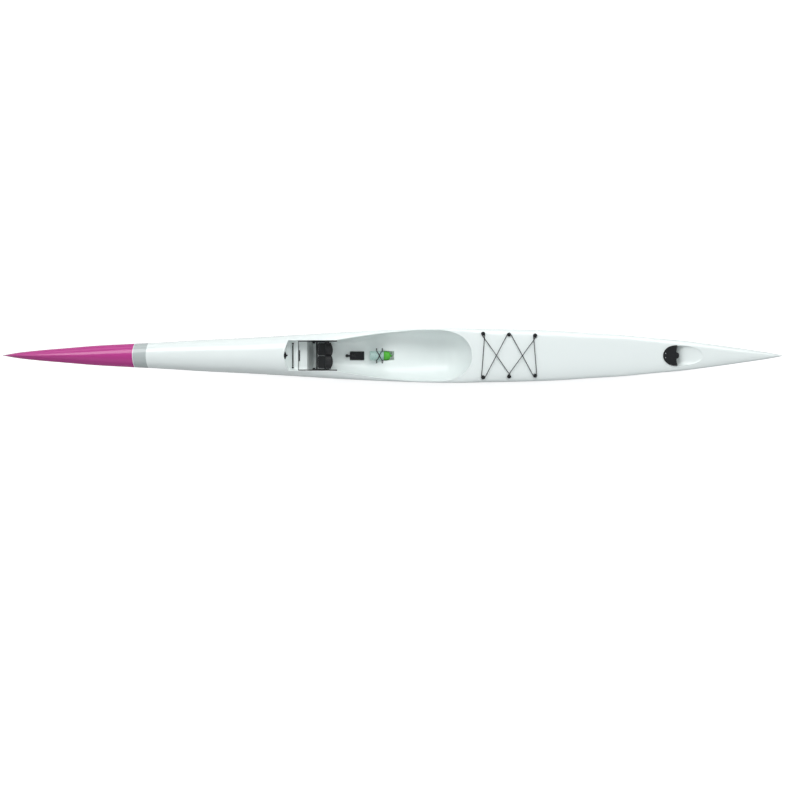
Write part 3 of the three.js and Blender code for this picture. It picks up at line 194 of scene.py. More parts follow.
camera_data = bpy.data.cameras.new("camera")
camera_data.sensor_width = SENSOR / MM
camera_data.lens = SENSOR / MM * CAMERA_DISTANCE / (FRAME_PX * metres_per_px)
camera_data.clip_end = 4 * CAMERA_DISTANCE
camera = bpy.data.objects.new("camera", camera_data)
camera.location = (view_middle_x, view_middle_y, deck_level + CAMERA_DISTANCE)
bpy.context.collection.objects.link(camera)
bpy.context.scene.camera = camera
print("lens", round(camera_data.lens, 1), "mm, one pixel is", round(metres_per_px / MM, 2), "mm")

# %% [markdown]
# The background of the photograph is plain white. The floor is a pale sheet that keeps the
# boat's shadow, and what the camera sees of it gets some glow of its own to reach white.

# %% Floor and world
FLOOR_SIZE = 60.0
FLOOR_GAP = 1 * MM
floor_level = cad_box[0][2] - FLOOR_GAP

clear_selection()
bpy.ops.mesh.primitive_plane_add(size=FLOOR_SIZE, location=(0, 0, floor_level))
floor = settle(newest("studio_floor"))

FLOOR_GREY = (0.62, 0.62, 0.62, 1)
FLOOR_GLOW = 0.68
WORLD_COLOUR = (0.93, 0.96, 1.0, 1)
WORLD_LIGHT = 0.35


def show_camera(tree, seen, plain, for_camera, output):
    """Gives the camera one shader, and the light that bounces about another."""
    choice = tree.nodes.new("ShaderNodeMixShader")
    tree.links.new(seen, choice.inputs["Fac"])
    tree.links.new(plain.outputs[0], choice.inputs[1])
    tree.links.new(for_camera.outputs[0], choice.inputs[2])
    tree.links.new(choice.outputs[0], tree.nodes[output].inputs["Surface"])


paper = bpy.data.materials.new("floor_paper")
paper.use_nodes = True
nodes, links = paper.node_tree.nodes, paper.node_tree.links
nodes.remove(nodes["Principled BSDF"])
path = nodes.new("ShaderNodeLightPath")
matt = nodes.new("ShaderNodeBsdfDiffuse")
matt.inputs["Color"].default_value = FLOOR_GREY
glow = nodes.new("ShaderNodeEmission")
glow.inputs["Strength"].default_value = FLOOR_GLOW
both = nodes.new("ShaderNodeAddShader")
links.new(matt.outputs[0], both.inputs[0])
links.new(glow.outputs[0], both.inputs[1])
seen = nodes.new("ShaderNodeMath")
seen.operation = "MAXIMUM"
links.new(path.outputs["Is Camera Ray"], seen.inputs[0])
links.new(path.outputs["Is Transmission Ray"], seen.inputs[1])
show_camera(paper.node_tree, seen.outputs[0], matt, both, "Material Output")
floor.data.materials.append(paper)

world = bpy.data.worlds.new("studio_world")
bpy.context.scene.world = world
world.use_nodes = True
nodes = world.node_tree.nodes
background = nodes["Background"]
background.inputs["Color"].default_value = WORLD_COLOUR
background.inputs["Strength"].default_value = WORLD_LIGHT
backdrop = nodes.new("ShaderNodeBackground")
path = nodes.new("ShaderNodeLightPath")
show_camera(world.node_tree, path.outputs["Is Camera Ray"], background, backdrop, "World Output")
bpy.context.scene.view_settings.view_transform = "Standard"
print("floor at", round(floor_level, 4))

# %% [markdown]
# In the photograph the starboard side is bright and the port edge falls into soft grey, so
# the main light is a long soft box high over the starboard side, with a low one below it.
# A light right overhead reaches into the cockpit. It is kept out of the reflections, because
# the flat black fittings would mirror it straight into the camera.

# %% Lamps
# Name, place, how far aft of the middle it aims, size in metres, and power in watts.
soft_boxes = [
    ("starboard_box", (0, 4.2, 5.0), 0, (9.0, 3.0), 285),
    ("starboard_low", (0, 7.0, 1.8), 0, (9.0, 2.0), 52),
    ("overhead", (0, 0, 5.5), 0, (8.0, 0.4), 55),
    ("port_fill", (0, -5.0, 4.0), 0, (9.0, 3.0), 19),
    ("bow_fill", (-6.5, 0, 3.5), -1.0, (3.0, 3.0), 40),
    ("stern_fill", (6.5, 0, 3.5), 1.0, (3.0, 3.0), 45),
]
for name, place, aim, size, power in soft_boxes:
    lamp = bpy.data.lights.new(name, "AREA")
    lamp.shape = "RECTANGLE"
    lamp.size, lamp.size_y = size
    lamp.energy = power
    holder = bpy.data.objects.new(name, lamp)
    holder.location = place
    way = Vector((aim, 0, deck_level)) - Vector(place)
    holder.rotation_euler = way.to_track_quat("-Z", "Y").to_euler()
    holder.visible_glossy = name != "overhead"
    bpy.context.collection.objects.link(holder)
print("lamps", len(bpy.data.lights))

# %% [markdown]
# ## Writing materials as sums
# A shader is easier to read as a formula. `Signal` wraps the output of a node, and the
# signs +, -, * and < between signals and numbers add the Math nodes.

# %% A socket that can be used in sums


class Signal:
    def __init__(self, recipe, socket):
        self.recipe = recipe
        self.socket = socket

    def maths(self, operation, first, second=0.0):
        return self.recipe.add("ShaderNodeMath", {"operation": operation}, {0: first, 1: second})

    def __add__(self, other):
        return self.maths("ADD", self, other)

    def __sub__(self, other):
        return self.maths("SUBTRACT", self, other)

    def __rsub__(self, other):
        return self.maths("SUBTRACT", other, self)

    def __mul__(self, other):
        return self.maths("MULTIPLY", self, other)

    def __lt__(self, other):
        return self.maths("LESS_THAN", self, other)

    def __abs__(self):
        return self.maths("ABSOLUTE", self)

    def sine(self):
        return self.maths("SINE", self)

    def largest(self, other):
        return self.maths("MAXIMUM", self, other)

    __radd__ = __add__
    __rmul__ = __mul__


class Recipe:
    """A material whose nodes are added one formula at a time."""

    def __init__(self, name, **plain):
        self.material = bpy.data.materials.new(name)
        self.material.use_nodes = True
        self.tree = self.material.node_tree
        self.shader = self.tree.nodes["Principled BSDF"]
        for key, value in plain.items():
            self.shader.inputs[key.replace("_", " ")].default_value = value

    def add(self, kind, settings=None, sockets=None, output=0):
        node = self.tree.nodes.new(kind)
        for key, value in (settings or {}).items():
            setattr(node, key, value)
        for key, value in (sockets or {}).items():
            self.feed(node.inputs[key], value)
        return Signal(self, node.outputs[output])

    def feed(self, socket, value):
        if isinstance(value, Signal):
            self.tree.links.new(value.socket, socket)
        else:
            socket.default_value = value

    def finish(self, **outcome):
        for key, value in outcome.items():
            self.feed(self.shader.inputs[key.replace("_", " ")], value)
        return self.material

    def place(self):
        return self.add("ShaderNodeTexCoord", output="Object")

    def strip(self):
        return self.add("ShaderNodeUVMap", {"uv_map": "strip"})

    def split(self, vector):
        node = self.add("ShaderNodeSeparateXYZ", {}, {0: vector})
        outputs = node.socket.node.outputs
        return [Signal(self, outputs[axis]) for axis in range(3)]

    def noise(self, vector, scale, detail):
        return self.add("ShaderNodeTexNoise", {}, {
            "Vector": vector, "Scale": scale, "Detail": detail})

    def mix(self, factor, first, second):
        return self.add("ShaderNodeMix", {"data_type": "RGBA"}, {0: factor, 6: first, 7: second}, 2)

    def bump(self, height, strength, distance):
        return self.add("ShaderNodeBump", {}, {
            "Height": height, "Strength": strength, "Distance": distance})


def srgb(red, green, blue):
    """A colour as it is read off a photograph, from 0 to 255, as linear light."""
    def linear(level):
        share = level / 255
        return share / 12.92 if share <= 0.04045 else ((share + 0.055) / 1.055) ** 2.4
    return (linear(red), linear(green), linear(blue), 1.0)


print("recipes ready")

# %% [markdown]
# ## The finishes
# The boat's skin is gelcoat: a hard, glossy resin that is sprayed into the mould, white
# with a magenta bow and a silver band. Real gelcoat is never quite flat: it has a faint
# orange peel, and its gloss changes a little where it was polished. The cockpit's gelcoat
# also carries a painted shade line along the edge of its front ledge, drawn dark where the
# step drops away. Bands and line are masks on the place along the boat, so they need no
# pieces of their own.

# %% Painted gelcoat
PAINT_END = -2.003
PAINT_CURVE = 1.9
PINSTRIPE = 4 * MM
BAND_END = -1.899
WHITE = srgb(234, 242, 240)
MAGENTA = srgb(187, 55, 139)
SILVER = srgb(182, 191, 190)
# Painted shade: a dark line along the edge of the cockpit's front ledge stands in for the step's
# shadow.
PAINTED_STEP_SHADE = srgb(72, 77, 78)
PAINTED_STEP_SHADE_PLACE = -0.7305
PAINTED_STEP_SHADE_HALF_WIDTH = 2.6 * MM
PAINTED_STEP_SHADE_REACH = 113 * MM


def painted_gelcoat():
    recipe = Recipe("painted_gelcoat", Coat_Roughness=0.05, Coat_IOR=1.5)
    place = recipe.place()
    along, across, _ = recipe.split(place)
    along = along - (across * across) * PAINT_CURVE
    white = recipe.mix(along < BAND_END, WHITE, SILVER)
    banded = recipe.mix(along < PAINT_END + PINSTRIPE, white, WHITE)
    colour = recipe.mix(along < PAINT_END, banded, MAGENTA)
    cloud = recipe.noise(place, scale=2.2, detail=2.0)
    peel = recipe.noise(place, scale=160.0, detail=2.0)
    return recipe.finish(
        Base_Color=colour,
        Roughness=cloud * 0.14 + 0.14,
        Coat_Weight=cloud * 0.3 + 0.35,
        Normal=recipe.bump(peel, strength=0.05, distance=0.4 * MM),
    )


def moulded_gelcoat():
    """The same white, less polished, with a painted shade line along the ledge's edge, where the step
    drops.
    """
    recipe = Recipe("moulded_gelcoat", Coat_Roughness=0.12)
    place = recipe.place()
    along, across, _ = recipe.split(place)
    cloud = recipe.noise(place, scale=5.0, detail=3.0)
    peel = recipe.noise(place, scale=220.0, detail=2.0)
    clean = recipe.mix(cloud, srgb(231, 239, 237), WHITE)
    # Painted shade: a thin dark line along the ledge's edge, across the cockpit, stands in for the
    # step's shadow.
    painted_shade_line = (abs(along - PAINTED_STEP_SHADE_PLACE) < PAINTED_STEP_SHADE_HALF_WIDTH) * (abs(across) < PAINTED_STEP_SHADE_REACH)
    colour = recipe.mix(painted_shade_line, clean, PAINTED_STEP_SHADE)
    return recipe.finish(
        Base_Color=colour,
        Roughness=cloud * 0.1 + 0.26,
        Coat_Weight=0.25,
        Normal=recipe.bump(peel, strength=0.08, distance=0.4 * MM),
    )


# %% [markdown]
# The fittings are black nylon. The moulded ones have a fine spark-eroded grain, and the
# grain catches the light as tiny grey points. Handled edges are a little smoother.

# %% Plastics, rubber and foam


def moulded_plastic(name, colour, grain=1400.0, depth=0.35, gloss=0.38):
    recipe = Recipe(name, Specular_IOR_Level=0.5)
    place = recipe.place()
    fine = recipe.noise(place, scale=grain, detail=2.0)
    cloud = recipe.noise(place, scale=18.0, detail=3.0)
    paler = tuple(min(channel * 1.5 + 0.004, 1) for channel in colour[:3]) + (1,)
    return recipe.finish(
        Base_Color=recipe.mix(cloud, colour, paler),
        Roughness=cloud * 0.16 + gloss,
        Normal=recipe.bump(fine, strength=depth, distance=0.15 * MM),
    )


def soft_rubber():
    recipe = Recipe("soft_rubber", Specular_IOR_Level=0.3)
    place = recipe.place()
    dust = recipe.noise(place, scale=60.0, detail=4.0)
    grain = recipe.noise(place, scale=2200.0, detail=1.0)
    return recipe.finish(
        Base_Color=recipe.mix(dust, srgb(26, 28, 29), srgb(52, 55, 56)),
        Roughness=dust * 0.2 + 0.6,
        Normal=recipe.bump(grain, strength=0.3, distance=0.1 * MM),
    )


def cut_foam():
    recipe = Recipe("cut_foam")
    cells = recipe.add("ShaderNodeTexVoronoi", {}, {"Vector": recipe.place(), "Scale": 700.0})
    return recipe.finish(
        Base_Color=recipe.mix(cells, srgb(205, 196, 165), srgb(231, 224, 200)),
        Roughness=cells * 0.1 + 0.8,
        Normal=recipe.bump(cells, strength=0.5, distance=0.4 * MM),
    )


def stainless_steel():
    recipe = Recipe("stainless_steel", Metallic=1.0)
    x, y, z = recipe.split(recipe.place())
    drawn = recipe.add("ShaderNodeCombineXYZ", {}, {0: x * 900.0, 1: y * 40.0, 2: z * 900.0})
    lines = recipe.noise(drawn, scale=1.0, detail=2.0)
    return recipe.finish(
        Base_Color=recipe.mix(lines, srgb(190, 193, 196), srgb(222, 224, 226)),
        Roughness=lines * 0.18 + 0.18,
        Normal=recipe.bump(lines, strength=0.1, distance=0.05 * MM),
    )


# %% [markdown]
# The cords have a braided sheath and the foot strap is woven, so both patterns run along
# the piece. Their meshes carry a map named strip: its first number is the length from one
# end in metres, and the second goes once round the cord, or across the band, in metres.

# %% Braid and webbing
BRAID_PITCH = 5 * MM
BRAID_STARTS = 4
WEAVE_PITCH = 1.6 * MM
FULL_TURN = 2 * math.pi


def braided_cord(name, dark, pale):
    recipe = Recipe(name, Sheen_Weight=0.25, Sheen_Roughness=0.5, Specular_IOR_Level=0.25)
    along, around, _ = recipe.split(recipe.strip())
    turns = along * (FULL_TURN / BRAID_PITCH)
    one_way = (turns + around * (FULL_TURN * BRAID_STARTS)).sine()
    other_way = (turns - around * (FULL_TURN * BRAID_STARTS)).sine()
    strands = one_way.largest(other_way) * 0.5 + 0.5
    return recipe.finish(
        Base_Color=recipe.mix(strands, dark, pale),
        Roughness=0.85 - strands * 0.15,
        Normal=recipe.bump(strands, strength=0.6, distance=0.5 * MM),
    )


def woven_webbing():
    recipe = Recipe("woven_webbing", Sheen_Weight=0.2, Sheen_Roughness=0.5)
    along, across, _ = recipe.split(recipe.strip())
    ribs = (across * (FULL_TURN / WEAVE_PITCH)).sine()
    picks = (along * (FULL_TURN / WEAVE_PITCH)).sine()
    weave = (ribs * picks) * 0.5 + 0.5
    return recipe.finish(
        Base_Color=recipe.mix(weave, srgb(18, 19, 20), srgb(46, 48, 50)),
        Roughness=weave * 0.15 + 0.72,
        Normal=recipe.bump(weave, strength=0.7, distance=0.4 * MM),
    )


# %% [markdown]
# The bottle is squeezed from translucent polyethylene, tinted teal, with a bright green cap.

# %% Bottle plastics


def tinted_bottle():
    recipe = Recipe("tinted_bottle", Transmission_Weight=0.35, IOR=1.45, Coat_Weight=0.2)
    cloud = recipe.noise(recipe.place(), scale=40.0, detail=3.0)
    return recipe.finish(
        Base_Color=recipe.mix(cloud, srgb(186, 224, 217), srgb(212, 238, 232)),
        Roughness=cloud * 0.15 + 0.22,
    )


skin_paint = painted_gelcoat()
cockpit_paint = moulded_gelcoat()
black_nylon = moulded_plastic("black_nylon", srgb(17, 19, 21), gloss=0.45)
gloss_nylon = moulded_plastic("gloss_nylon", srgb(18, 20, 22), depth=0.1, gloss=0.16)
green_plastic = moulded_plastic("green_plastic", srgb(66, 158, 38), depth=0.15, gloss=0.25)
pale_tube = moulded_plastic("pale_tube", srgb(215, 220, 221), depth=0.1, gloss=0.3)
rubber = soft_rubber()
foam = cut_foam()
steel = stainless_steel()
deck_braid = braided_cord("deck_braid", srgb(20, 22, 23), srgb(58, 62, 64))
hold_braid = braided_cord("hold_braid", srgb(11, 12, 13), srgb(34, 37, 39))
webbing = woven_webbing()
bottle_plastic = tinted_bottle()
print("finishes", len(bpy.data.materials))

# %% [markdown]
# ## The boat's lines
# A hull is drawn as a few long curves: the beam seen from above, and the keel, the sheer
# and the crown of the deck seen from the side. Each is a list of places along the half
# length against a share of one size, and a fair curve goes through them. Every section is
# then a rounded shape between those four, so the whole skin follows from the lines.

# %% Lines of the hull
half_length = boat_length / 2
half_beam = 210 * MM
keel_flat = 28 * MM
bow_height = 361 * MM
laminate = 4 * MM

beam_shares = [
    (-1, 0.004), (-0.958, 0.105), (-0.896, 0.2), (-0.855, 0.248), (-0.752, 0.367), (-0.67, 0.429),
    (-0.609, 0.471), (-0.486, 0.576), (-0.362, 0.662), (-0.239, 0.767), (-0.116, 0.871),
    (0.007, 0.95), (0.13, 0.998), (0.17, 1), (0.212, 0.988), (0.335, 0.952), (0.418, 0.91),
    (0.5, 0.833), (0.582, 0.762), (0.664, 0.652), (0.746, 0.543), (0.828, 0.395), (0.91, 0.229),
    (0.951, 0.143), (0.992, 0.038), (1, 0.01),
]
keel_shares = [
    (-1, 0.69), (-0.992, 0.56), (-0.978, 0.324), (-0.958, 0.238), (-0.937, 0.216), (-0.917, 0.186),
    (-0.875, 0.163), (-0.834, 0.147), (-0.793, 0.133), (-0.67, 0.083), (-0.609, 0.075),
    (-0.486, 0.042), (-0.362, 0.019), (-0.239, 0.011), (-0.116, 0.003), (-0.09, 0), (0.11, 0),
    (0.212, 0.011), (0.335, 0.019), (0.459, 0.036), (0.582, 0.058), (0.705, 0.078),
    (0.787, 0.105), (0.869, 0.136), (0.91, 0.163), (0.951, 0.191), (0.977, 0.224),
    (0.99, 0.271), (0.997, 0.32), (1, 0.41),
]
sheer_shares = [
    (-1, 0.88), (-0.95, 0.895), (-0.8, 0.85), (-0.67, 0.79), (-0.598, 0.748), (-0.393, 0.601),
    (-0.239, 0.535), (-0.123, 0.54), (0.017, 0.565), (0.12, 0.554), (0.273, 0.526), (0.53, 0.515),
    (0.633, 0.512), (0.77, 0.49), (0.9, 0.47), (0.97, 0.45), (1, 0.44),
]
crown_shares = [
    (-1, 0.922), (-0.992, 0.965), (-0.967, 0.99), (-0.937, 1), (-0.773, 1), (-0.7, 0.987),
    (-0.65, 0.97), (-0.568, 0.942), (-0.486, 0.92), (-0.403, 0.9), (-0.301, 0.867),
    (-0.267, 0.85), (-0.239, 0.82), (-0.198, 0.78), (-0.116, 0.727), (-0.075, 0.701),
    (-0.024, 0.687), (0.067, 0.68), (0.133, 0.68), (0.171, 0.681), (0.212, 0.692),
    (0.253, 0.687), (0.335, 0.662), (0.418, 0.652), (0.459, 0.643), (0.541, 0.623),
    (0.623, 0.607), (0.705, 0.601), (0.787, 0.579), (0.869, 0.56), (0.951, 0.515), (1, 0.49),
]
hull_fullness_shares = [
    (-1, 1.1), (-0.85, 1.2), (-0.6, 1.5), (-0.35, 1.95), (-0.1, 2.3), (0.25, 2.3), (0.55, 1.95),
    (0.8, 1.5), (1, 1.2),
]
deck_fullness_shares = [
    (-1, 1.3), (-0.8, 1.5), (-0.598, 1.9), (-0.3, 2.2), (-0.198, 2.3), (-0.116, 3), (-0.024, 5),
    (0.05, 7), (0.14, 7.5), (0.19, 6), (0.25, 4), (0.4, 3.4), (0.7, 3), (0.9, 2.4), (1, 2),
]


def fair_curve(points):
    """A smooth curve through the points that never swings past them."""
    last = len(points) - 1
    slopes = [(b[1] - a[1]) / (b[0] - a[0]) for a, b in zip(points, points[1:])]
    tangents = []
    for i in range(last + 1):
        if i in (0, last):
            tangents.append(slopes[min(i, last - 1)])
        elif slopes[i - 1] * slopes[i] <= 0:
            tangents.append(0.0)
        else:
            tangents.append(2 / (1 / slopes[i - 1] + 1 / slopes[i]))

    def at(place):
        place = min(max(place, points[0][0]), points[last][0])
        i = 0
        while i < last - 1 and place > points[i + 1][0]:
            i += 1
        span = points[i + 1][0] - points[i][0]
        t = (place - points[i][0]) / span
        square, cube = t * t, t * t * t
        rise = (points[i + 1][1] - points[i][1]) * (3 * square - 2 * cube)
        swing = tangents[i] * (cube - 2 * square + t) + tangents[i + 1] * (cube - square)
        return points[i][1] + rise + span * swing

    return at


beam_curve, keel_curve = fair_curve(beam_shares), fair_curve(keel_shares)
sheer_curve, crown_curve = fair_curve(sheer_shares), fair_curve(crown_shares)
hull_fullness = fair_curve(hull_fullness_shares)
deck_fullness = fair_curve(deck_fullness_shares)


def beam_at(x):
    return half_beam * beam_curve(x / half_length)


def keel_at(x):
    return bow_height * keel_curve(x / half_length)


def sheer_at(x):
    return bow_height * sheer_curve(x / half_length)


def crown_at(x):
    return bow_height * crown_curve(x / half_length)


def rounded_share(across, power):
    """How far a rounded section still reaches at a share of its half width."""
    return (1 - min(abs(across), 1) ** power) ** (1 / power)


def hull_height(x, y):
    down = rounded_share(y / max(beam_at(x), MM), hull_fullness(x / half_length))
    return sheer_at(x) - (sheer_at(x) - keel_at(x)) * down


def deck_height(x, y):
    up = rounded_share(y / max(beam_at(x), MM), deck_fullness(x / half_length))
    return sheer_at(x) + (crown_at(x) - sheer_at(x)) * up


LEAST_RUN = 1e-12


def even_arc(points, count):
    """The same line with its points spaced evenly along it."""
    run = [0.0]
    for a, b in zip(points, points[1:]):
        run.append(run[-1] + math.dist(a, b))
    spaced, i = [], 0
    for k in range(count + 1):
        target = run[-1] * k / count
        while i < len(run) - 2 and run[i + 1] < target:
            i += 1
        t = (target - run[i]) / max(run[i + 1] - run[i], LEAST_RUN)
        spaced.append(tuple(a + (b - a) * min(t, 1) for a, b in zip(points[i], points[i + 1])))
    return spaced


print("beam amidships", round(2 * beam_at(0.5), 3), "m")

# %% [markdown]
# ## Hull and deck shells
# A real hull is laid up in one mould and the deck in another, and the two are bonded along
# the sheer. Here each starts as a flat grid. Every row of the grid is laid on one section
# of the lines, so the rows lie close where the boat's ends curve most. Solidify then gives
# the laminate its thickness, and thins it almost to nothing in the narrow ends.

# %% A grid wrapped onto sections


def wrapped_grid(name, sections):
    """A grid primitive whose rows are laid on the given lists of points."""
    along, around = len(sections) - 1, len(sections[0]) - 1
    clear_selection()
    bpy.ops.mesh.primitive_grid_add(x_subdivisions=along, y_subdivisions=around, size=2)
    piece = newest(name)
    for vertex in piece.data.vertices:
        i = round((vertex.co.x + 1) / 2 * along)
        j = round((vertex.co.y + 1) / 2 * around)
        vertex.co = sections[i][j]
    merge_doubles(piece)
    return piece


def mirrored_section(half):
    """From a half section, keel or crown first, to one that runs from port to starboard."""
    port = [(x, -y, z) for x, y, z in reversed(half[1:])]
    return port + half


SECTION_STEPS = 90
TIP_SHARES = (0, 0.0004, 0.0015, 0.003, 0.005, 0.0075)
HULL_STATIONS = 230
EVEN_SHARE = 0.6
LEAST_STATION_GAP = 0.5 * MM
HULL_AROUND = 40
DECK_AROUND = 46
END_ROUND = 6 * MM
LEAST_BEAM = 2.5 * MM


def thinned(places, gap, end):
    """The places in order, without those too close to the one before, up to the end."""
    spaced = []
    for x in sorted(places):
        if not spaced or x - spaced[-1] > gap:
            spaced.append(x)
    spaced[-1] = end
    return spaced


def hull_stations(extra=()):
    stations = set(extra)
    for i in range(HULL_STATIONS + 1):
        even = 2 * i / HULL_STATIONS - 1
        crowded = -math.cos(math.pi * i / HULL_STATIONS)
        stations.add(half_length * (EVEN_SHARE * even + (1 - EVEN_SHARE) * crowded))
    for share in TIP_SHARES:
        stations.add(-half_length * (1 - share))
        stations.add(half_length * (1 - share))
    return thinned(stations, LEAST_STATION_GAP, half_length)


def closing_beam(x):
    """The beam, drawn in to nothing right at the ends so that the skin closes there."""
    from_end = (half_length - abs(x)) / END_ROUND
    width = max(beam_at(x), LEAST_BEAM)
    return width * math.sqrt(max(1 - max(1 - from_end, 0) ** 2, 0))


def quarter(power):
    """A rounded quarter from its crown to its edge, as shares across and up."""
    for i in range(SECTION_STEPS + 1):
        angle = i / SECTION_STEPS * math.pi / 2
        yield math.sin(angle) ** (2 / power), math.cos(angle) ** (2 / power)


def hull_half(x):
    width, keel, sheer = closing_beam(x), keel_at(x), sheer_at(x)
    flat = min(keel_flat, width / 4)
    points = [(x, 0.0, keel)]
    for out, down in quarter(hull_fullness(x / half_length)):
        y = (flat ** 3 * (1 - out ** 3) + (width * out) ** 3) ** (1 / 3)
        points.append((x, y, sheer - (sheer - keel) * down))
    return even_arc(points, HULL_AROUND)


NO_ROOM_SHARE = 0.3
LEAST_LAMINATE_SHARE = 0.02


def thin_ends(piece):
    """A vertex group that lets Solidify thin the laminate where the boat is narrow."""
    group = piece.vertex_groups.new(name="laminate")
    for vertex in piece.data.vertices:
        room = closing_beam(vertex.co.x) / (3 * laminate) - NO_ROOM_SHARE
        group.add([vertex.index], min(max(room, LEAST_LAMINATE_SHARE), 1.0), "REPLACE")
    return group.name

# %% [markdown]
# A grid that is open on top has no inside for Blender to find, so the faces are turned by
# vote: the keel's faces must point down and the crown's faces must point up.

# %% Turn the faces of an open skin and give it its laminate


def turn_skin(piece, towards):
    vote = sum(face.normal.dot(Vector(towards)) * face.area for face in piece.data.polygons)
    if vote < 0:
        on_all_faces(piece, bpy.ops.mesh.flip_normals)
    return piece


def lay_up(piece, towards):
    turn_skin(piece, towards)
    use_modifier(piece, "SOLIDIFY", thickness=laminate, offset=-1,
                 vertex_group=thin_ends(piece), use_rim=True)
    piece.vertex_groups.clear()
    return piece


hull = wrapped_grid("hull_skin", [mirrored_section(hull_half(x)) for x in hull_stations()])
lay_up(hull, (0, 0, -1))

# %% [markdown]
# The self-bailer's chute goes through the keel, so the hull has a neat square hole there.
# The cutter is a cube that is a little larger than the flap, and stands through the keel.

# %% Bailer hole in the hull
flap_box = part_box("bailer_flap")
HULL_HOLE_MARGIN = 3.4 * MM
HULL_HOLE_HEIGHTS = (-0.02, 0.05)


def chute_cutter(margin, heights):
    """A block round the flap, wider by a margin, between two heights."""
    (front, port, _), (end, starboard, _) = flap_box
    clear_selection()
    bpy.ops.mesh.primitive_cube_add(
        size=1, location=((front + end) / 2, (port + starboard) / 2, sum(heights) / 2))
    cutter = newest("chute_cutter")
    cutter.scale = (end - front + 2 * margin, starboard - port + 2 * margin, heights[1] - heights[0])
    return settle(cutter)


cut(hull, chute_cutter(HULL_HOLE_MARGIN, HULL_HOLE_HEIGHTS))
smooth(hull, 35)
adopt(hull, "hull", "gelcoat", skin_paint, "hull_shell")

# %% [markdown]
# The deck mould has a scoop behind the rudder cover: a deep well for the rudder's yoke that
# runs out aft as a shallow teardrop. It is one surface with the deck, so the deck's grid is
# simply pressed down there. Extra rows and one grid line that runs along the scoop's lip
# keep the lip crisp.

# %% The scoop's shape
WELL_FRONT = 2.104
WELL_END = 2.378
WELL_HALF_WIDTH = 77 * MM
WELL_DEPTH = 58 * MM
well_width = fair_curve([
    (0, 0.3), (0.03, 0.62), (0.1, 0.82), (0.2, 0.86), (0.31, 0.99), (0.46, 1), (0.66, 0.9),
    (0.85, 0.7), (0.965, 0.42), (1, 0.14),
])
well_depth = fair_curve([
    (0, 0.95), (0.05, 1), (0.25, 1), (0.38, 0.72), (0.55, 0.42), (0.78, 0.2),
    (0.95, 0.1), (1, 0.05),
])
well_fullness = fair_curve([(0, 5), (0.25, 5), (0.5, 2.6), (1, 2.2)])
WELL_ROWS = 84
WELL_MARGIN = 3 * MM
WELL_AROUND = 26
LEAST_LIP = 5 * MM
LIP_FADE = 60 * MM
LIP_FADE_ROWS = 10
LIP_HALVINGS = 24


def well_drop(x, y):
    """How far the deck's surface lies below its crown inside the scoop, or nothing."""
    along = (x - WELL_FRONT) / (WELL_END - WELL_FRONT)
    if not 0 <= along <= 1:
        return 0.0
    width = WELL_HALF_WIDTH * well_width(along)
    if abs(y) >= width:
        return 0.0
    return WELL_DEPTH * well_depth(along) * rounded_share(y / width, well_fullness(along))


def well_lip(x, crown, height):
    """Half the width of the scoop's mouth: where its wall comes up through the deck."""
    if not well_drop(x, 0):
        return LEAST_LIP
    inside, outside = 0.0, WELL_HALF_WIDTH
    for _ in range(LIP_HALVINGS):
        middle = (inside + outside) / 2
        if crown - well_drop(x, middle) < height(middle):
            inside = middle
        else:
            outside = middle
    return max(inside, LEAST_LIP)


def deck_half(x):
    width, crown, sheer = closing_beam(x), crown_at(x), sheer_at(x)
    power = deck_fullness(x / half_length)
    points = [(x, width * out, sheer + (crown - sheer) * up) for out, up in quarter(power)]
    half = even_arc(points, DECK_AROUND)
    away = max(WELL_FRONT - x, x - WELL_END, 0) / LIP_FADE
    if away >= 1:
        return half

    def height(y):
        return sheer + (crown - sheer) * rounded_share(y / width, power)

    lip = well_lip(x, crown, height)
    across = [lip * math.sin(i / WELL_AROUND * math.pi / 2) for i in range(WELL_AROUND)]
    beyond = [(x, lip, height(lip))] + [point for point in points if point[1] > lip]
    across += [point[1] for point in even_arc(beyond, DECK_AROUND - WELL_AROUND)]
    pressed = []
    for y, (_, even_y, _) in zip(across, half):
        y += (even_y - y) * away
        drop = well_drop(x, y)
        pressed.append((x, y, min(height(y), crown - drop) if drop else height(y)))
    return pressed


def well_rows():
    front, end = WELL_FRONT - WELL_MARGIN, WELL_END + WELL_MARGIN
    rows = [front + (end - front) * i / WELL_ROWS for i in range(WELL_ROWS + 1)]
    for i in range(LIP_FADE_ROWS):
        away = LIP_FADE * (i + 1) / LIP_FADE_ROWS
        rows += [front - away, end + away]
    return rows


deck = wrapped_grid("deck_skin", [mirrored_section(deck_half(x)) for x in hull_stations(well_rows())])
lay_up(deck, (0, 0, 1))
print("deck faces", len(deck.data.polygons))

# %% [markdown]
# ## Cockpit
# The cockpit is a third moulding that drops into a hole in the deck. Seen from above it has
# a straight-sided footwell that opens into a round seat bucket. Its outline comes first,
# because the hole in the deck, the moulding and the rolled rim all follow it.

# %% Cockpit outline and floor
COCKPIT_FRONT = -0.841
FOOTWELL_END = -0.433
COCKPIT_END = 0.603
FOOTWELL_HALF_WIDTH = 117 * MM
BUCKET_HALF_WIDTH = 197 * MM
FLOOR = 30 * MM
LEDGE_HEIGHT = 186 * MM
LEDGE_END = -0.731
STEP_HEIGHT = 164 * MM
STEP_END = -0.664
FOOTWELL_FRONT = -0.614
HUMP_START = -0.215
HUMP_PLACE = -0.02
HUMP_HEIGHT = 92 * MM
BUCKET_PLACE = 0.33
BUCKET_POWER = 2.2
SEAT_BACK_HEIGHT = 223.2 * MM
STEP_RUN = 2 * MM
STEP_FALL = 5.4 * MM
FRONT_ARC_REACH = 31 * MM
FRONT_ARC_POWER = 1.4
LEAST_WIDTH = 0.01 * MM
LEAST_FLOOR_GAP = 6 * MM

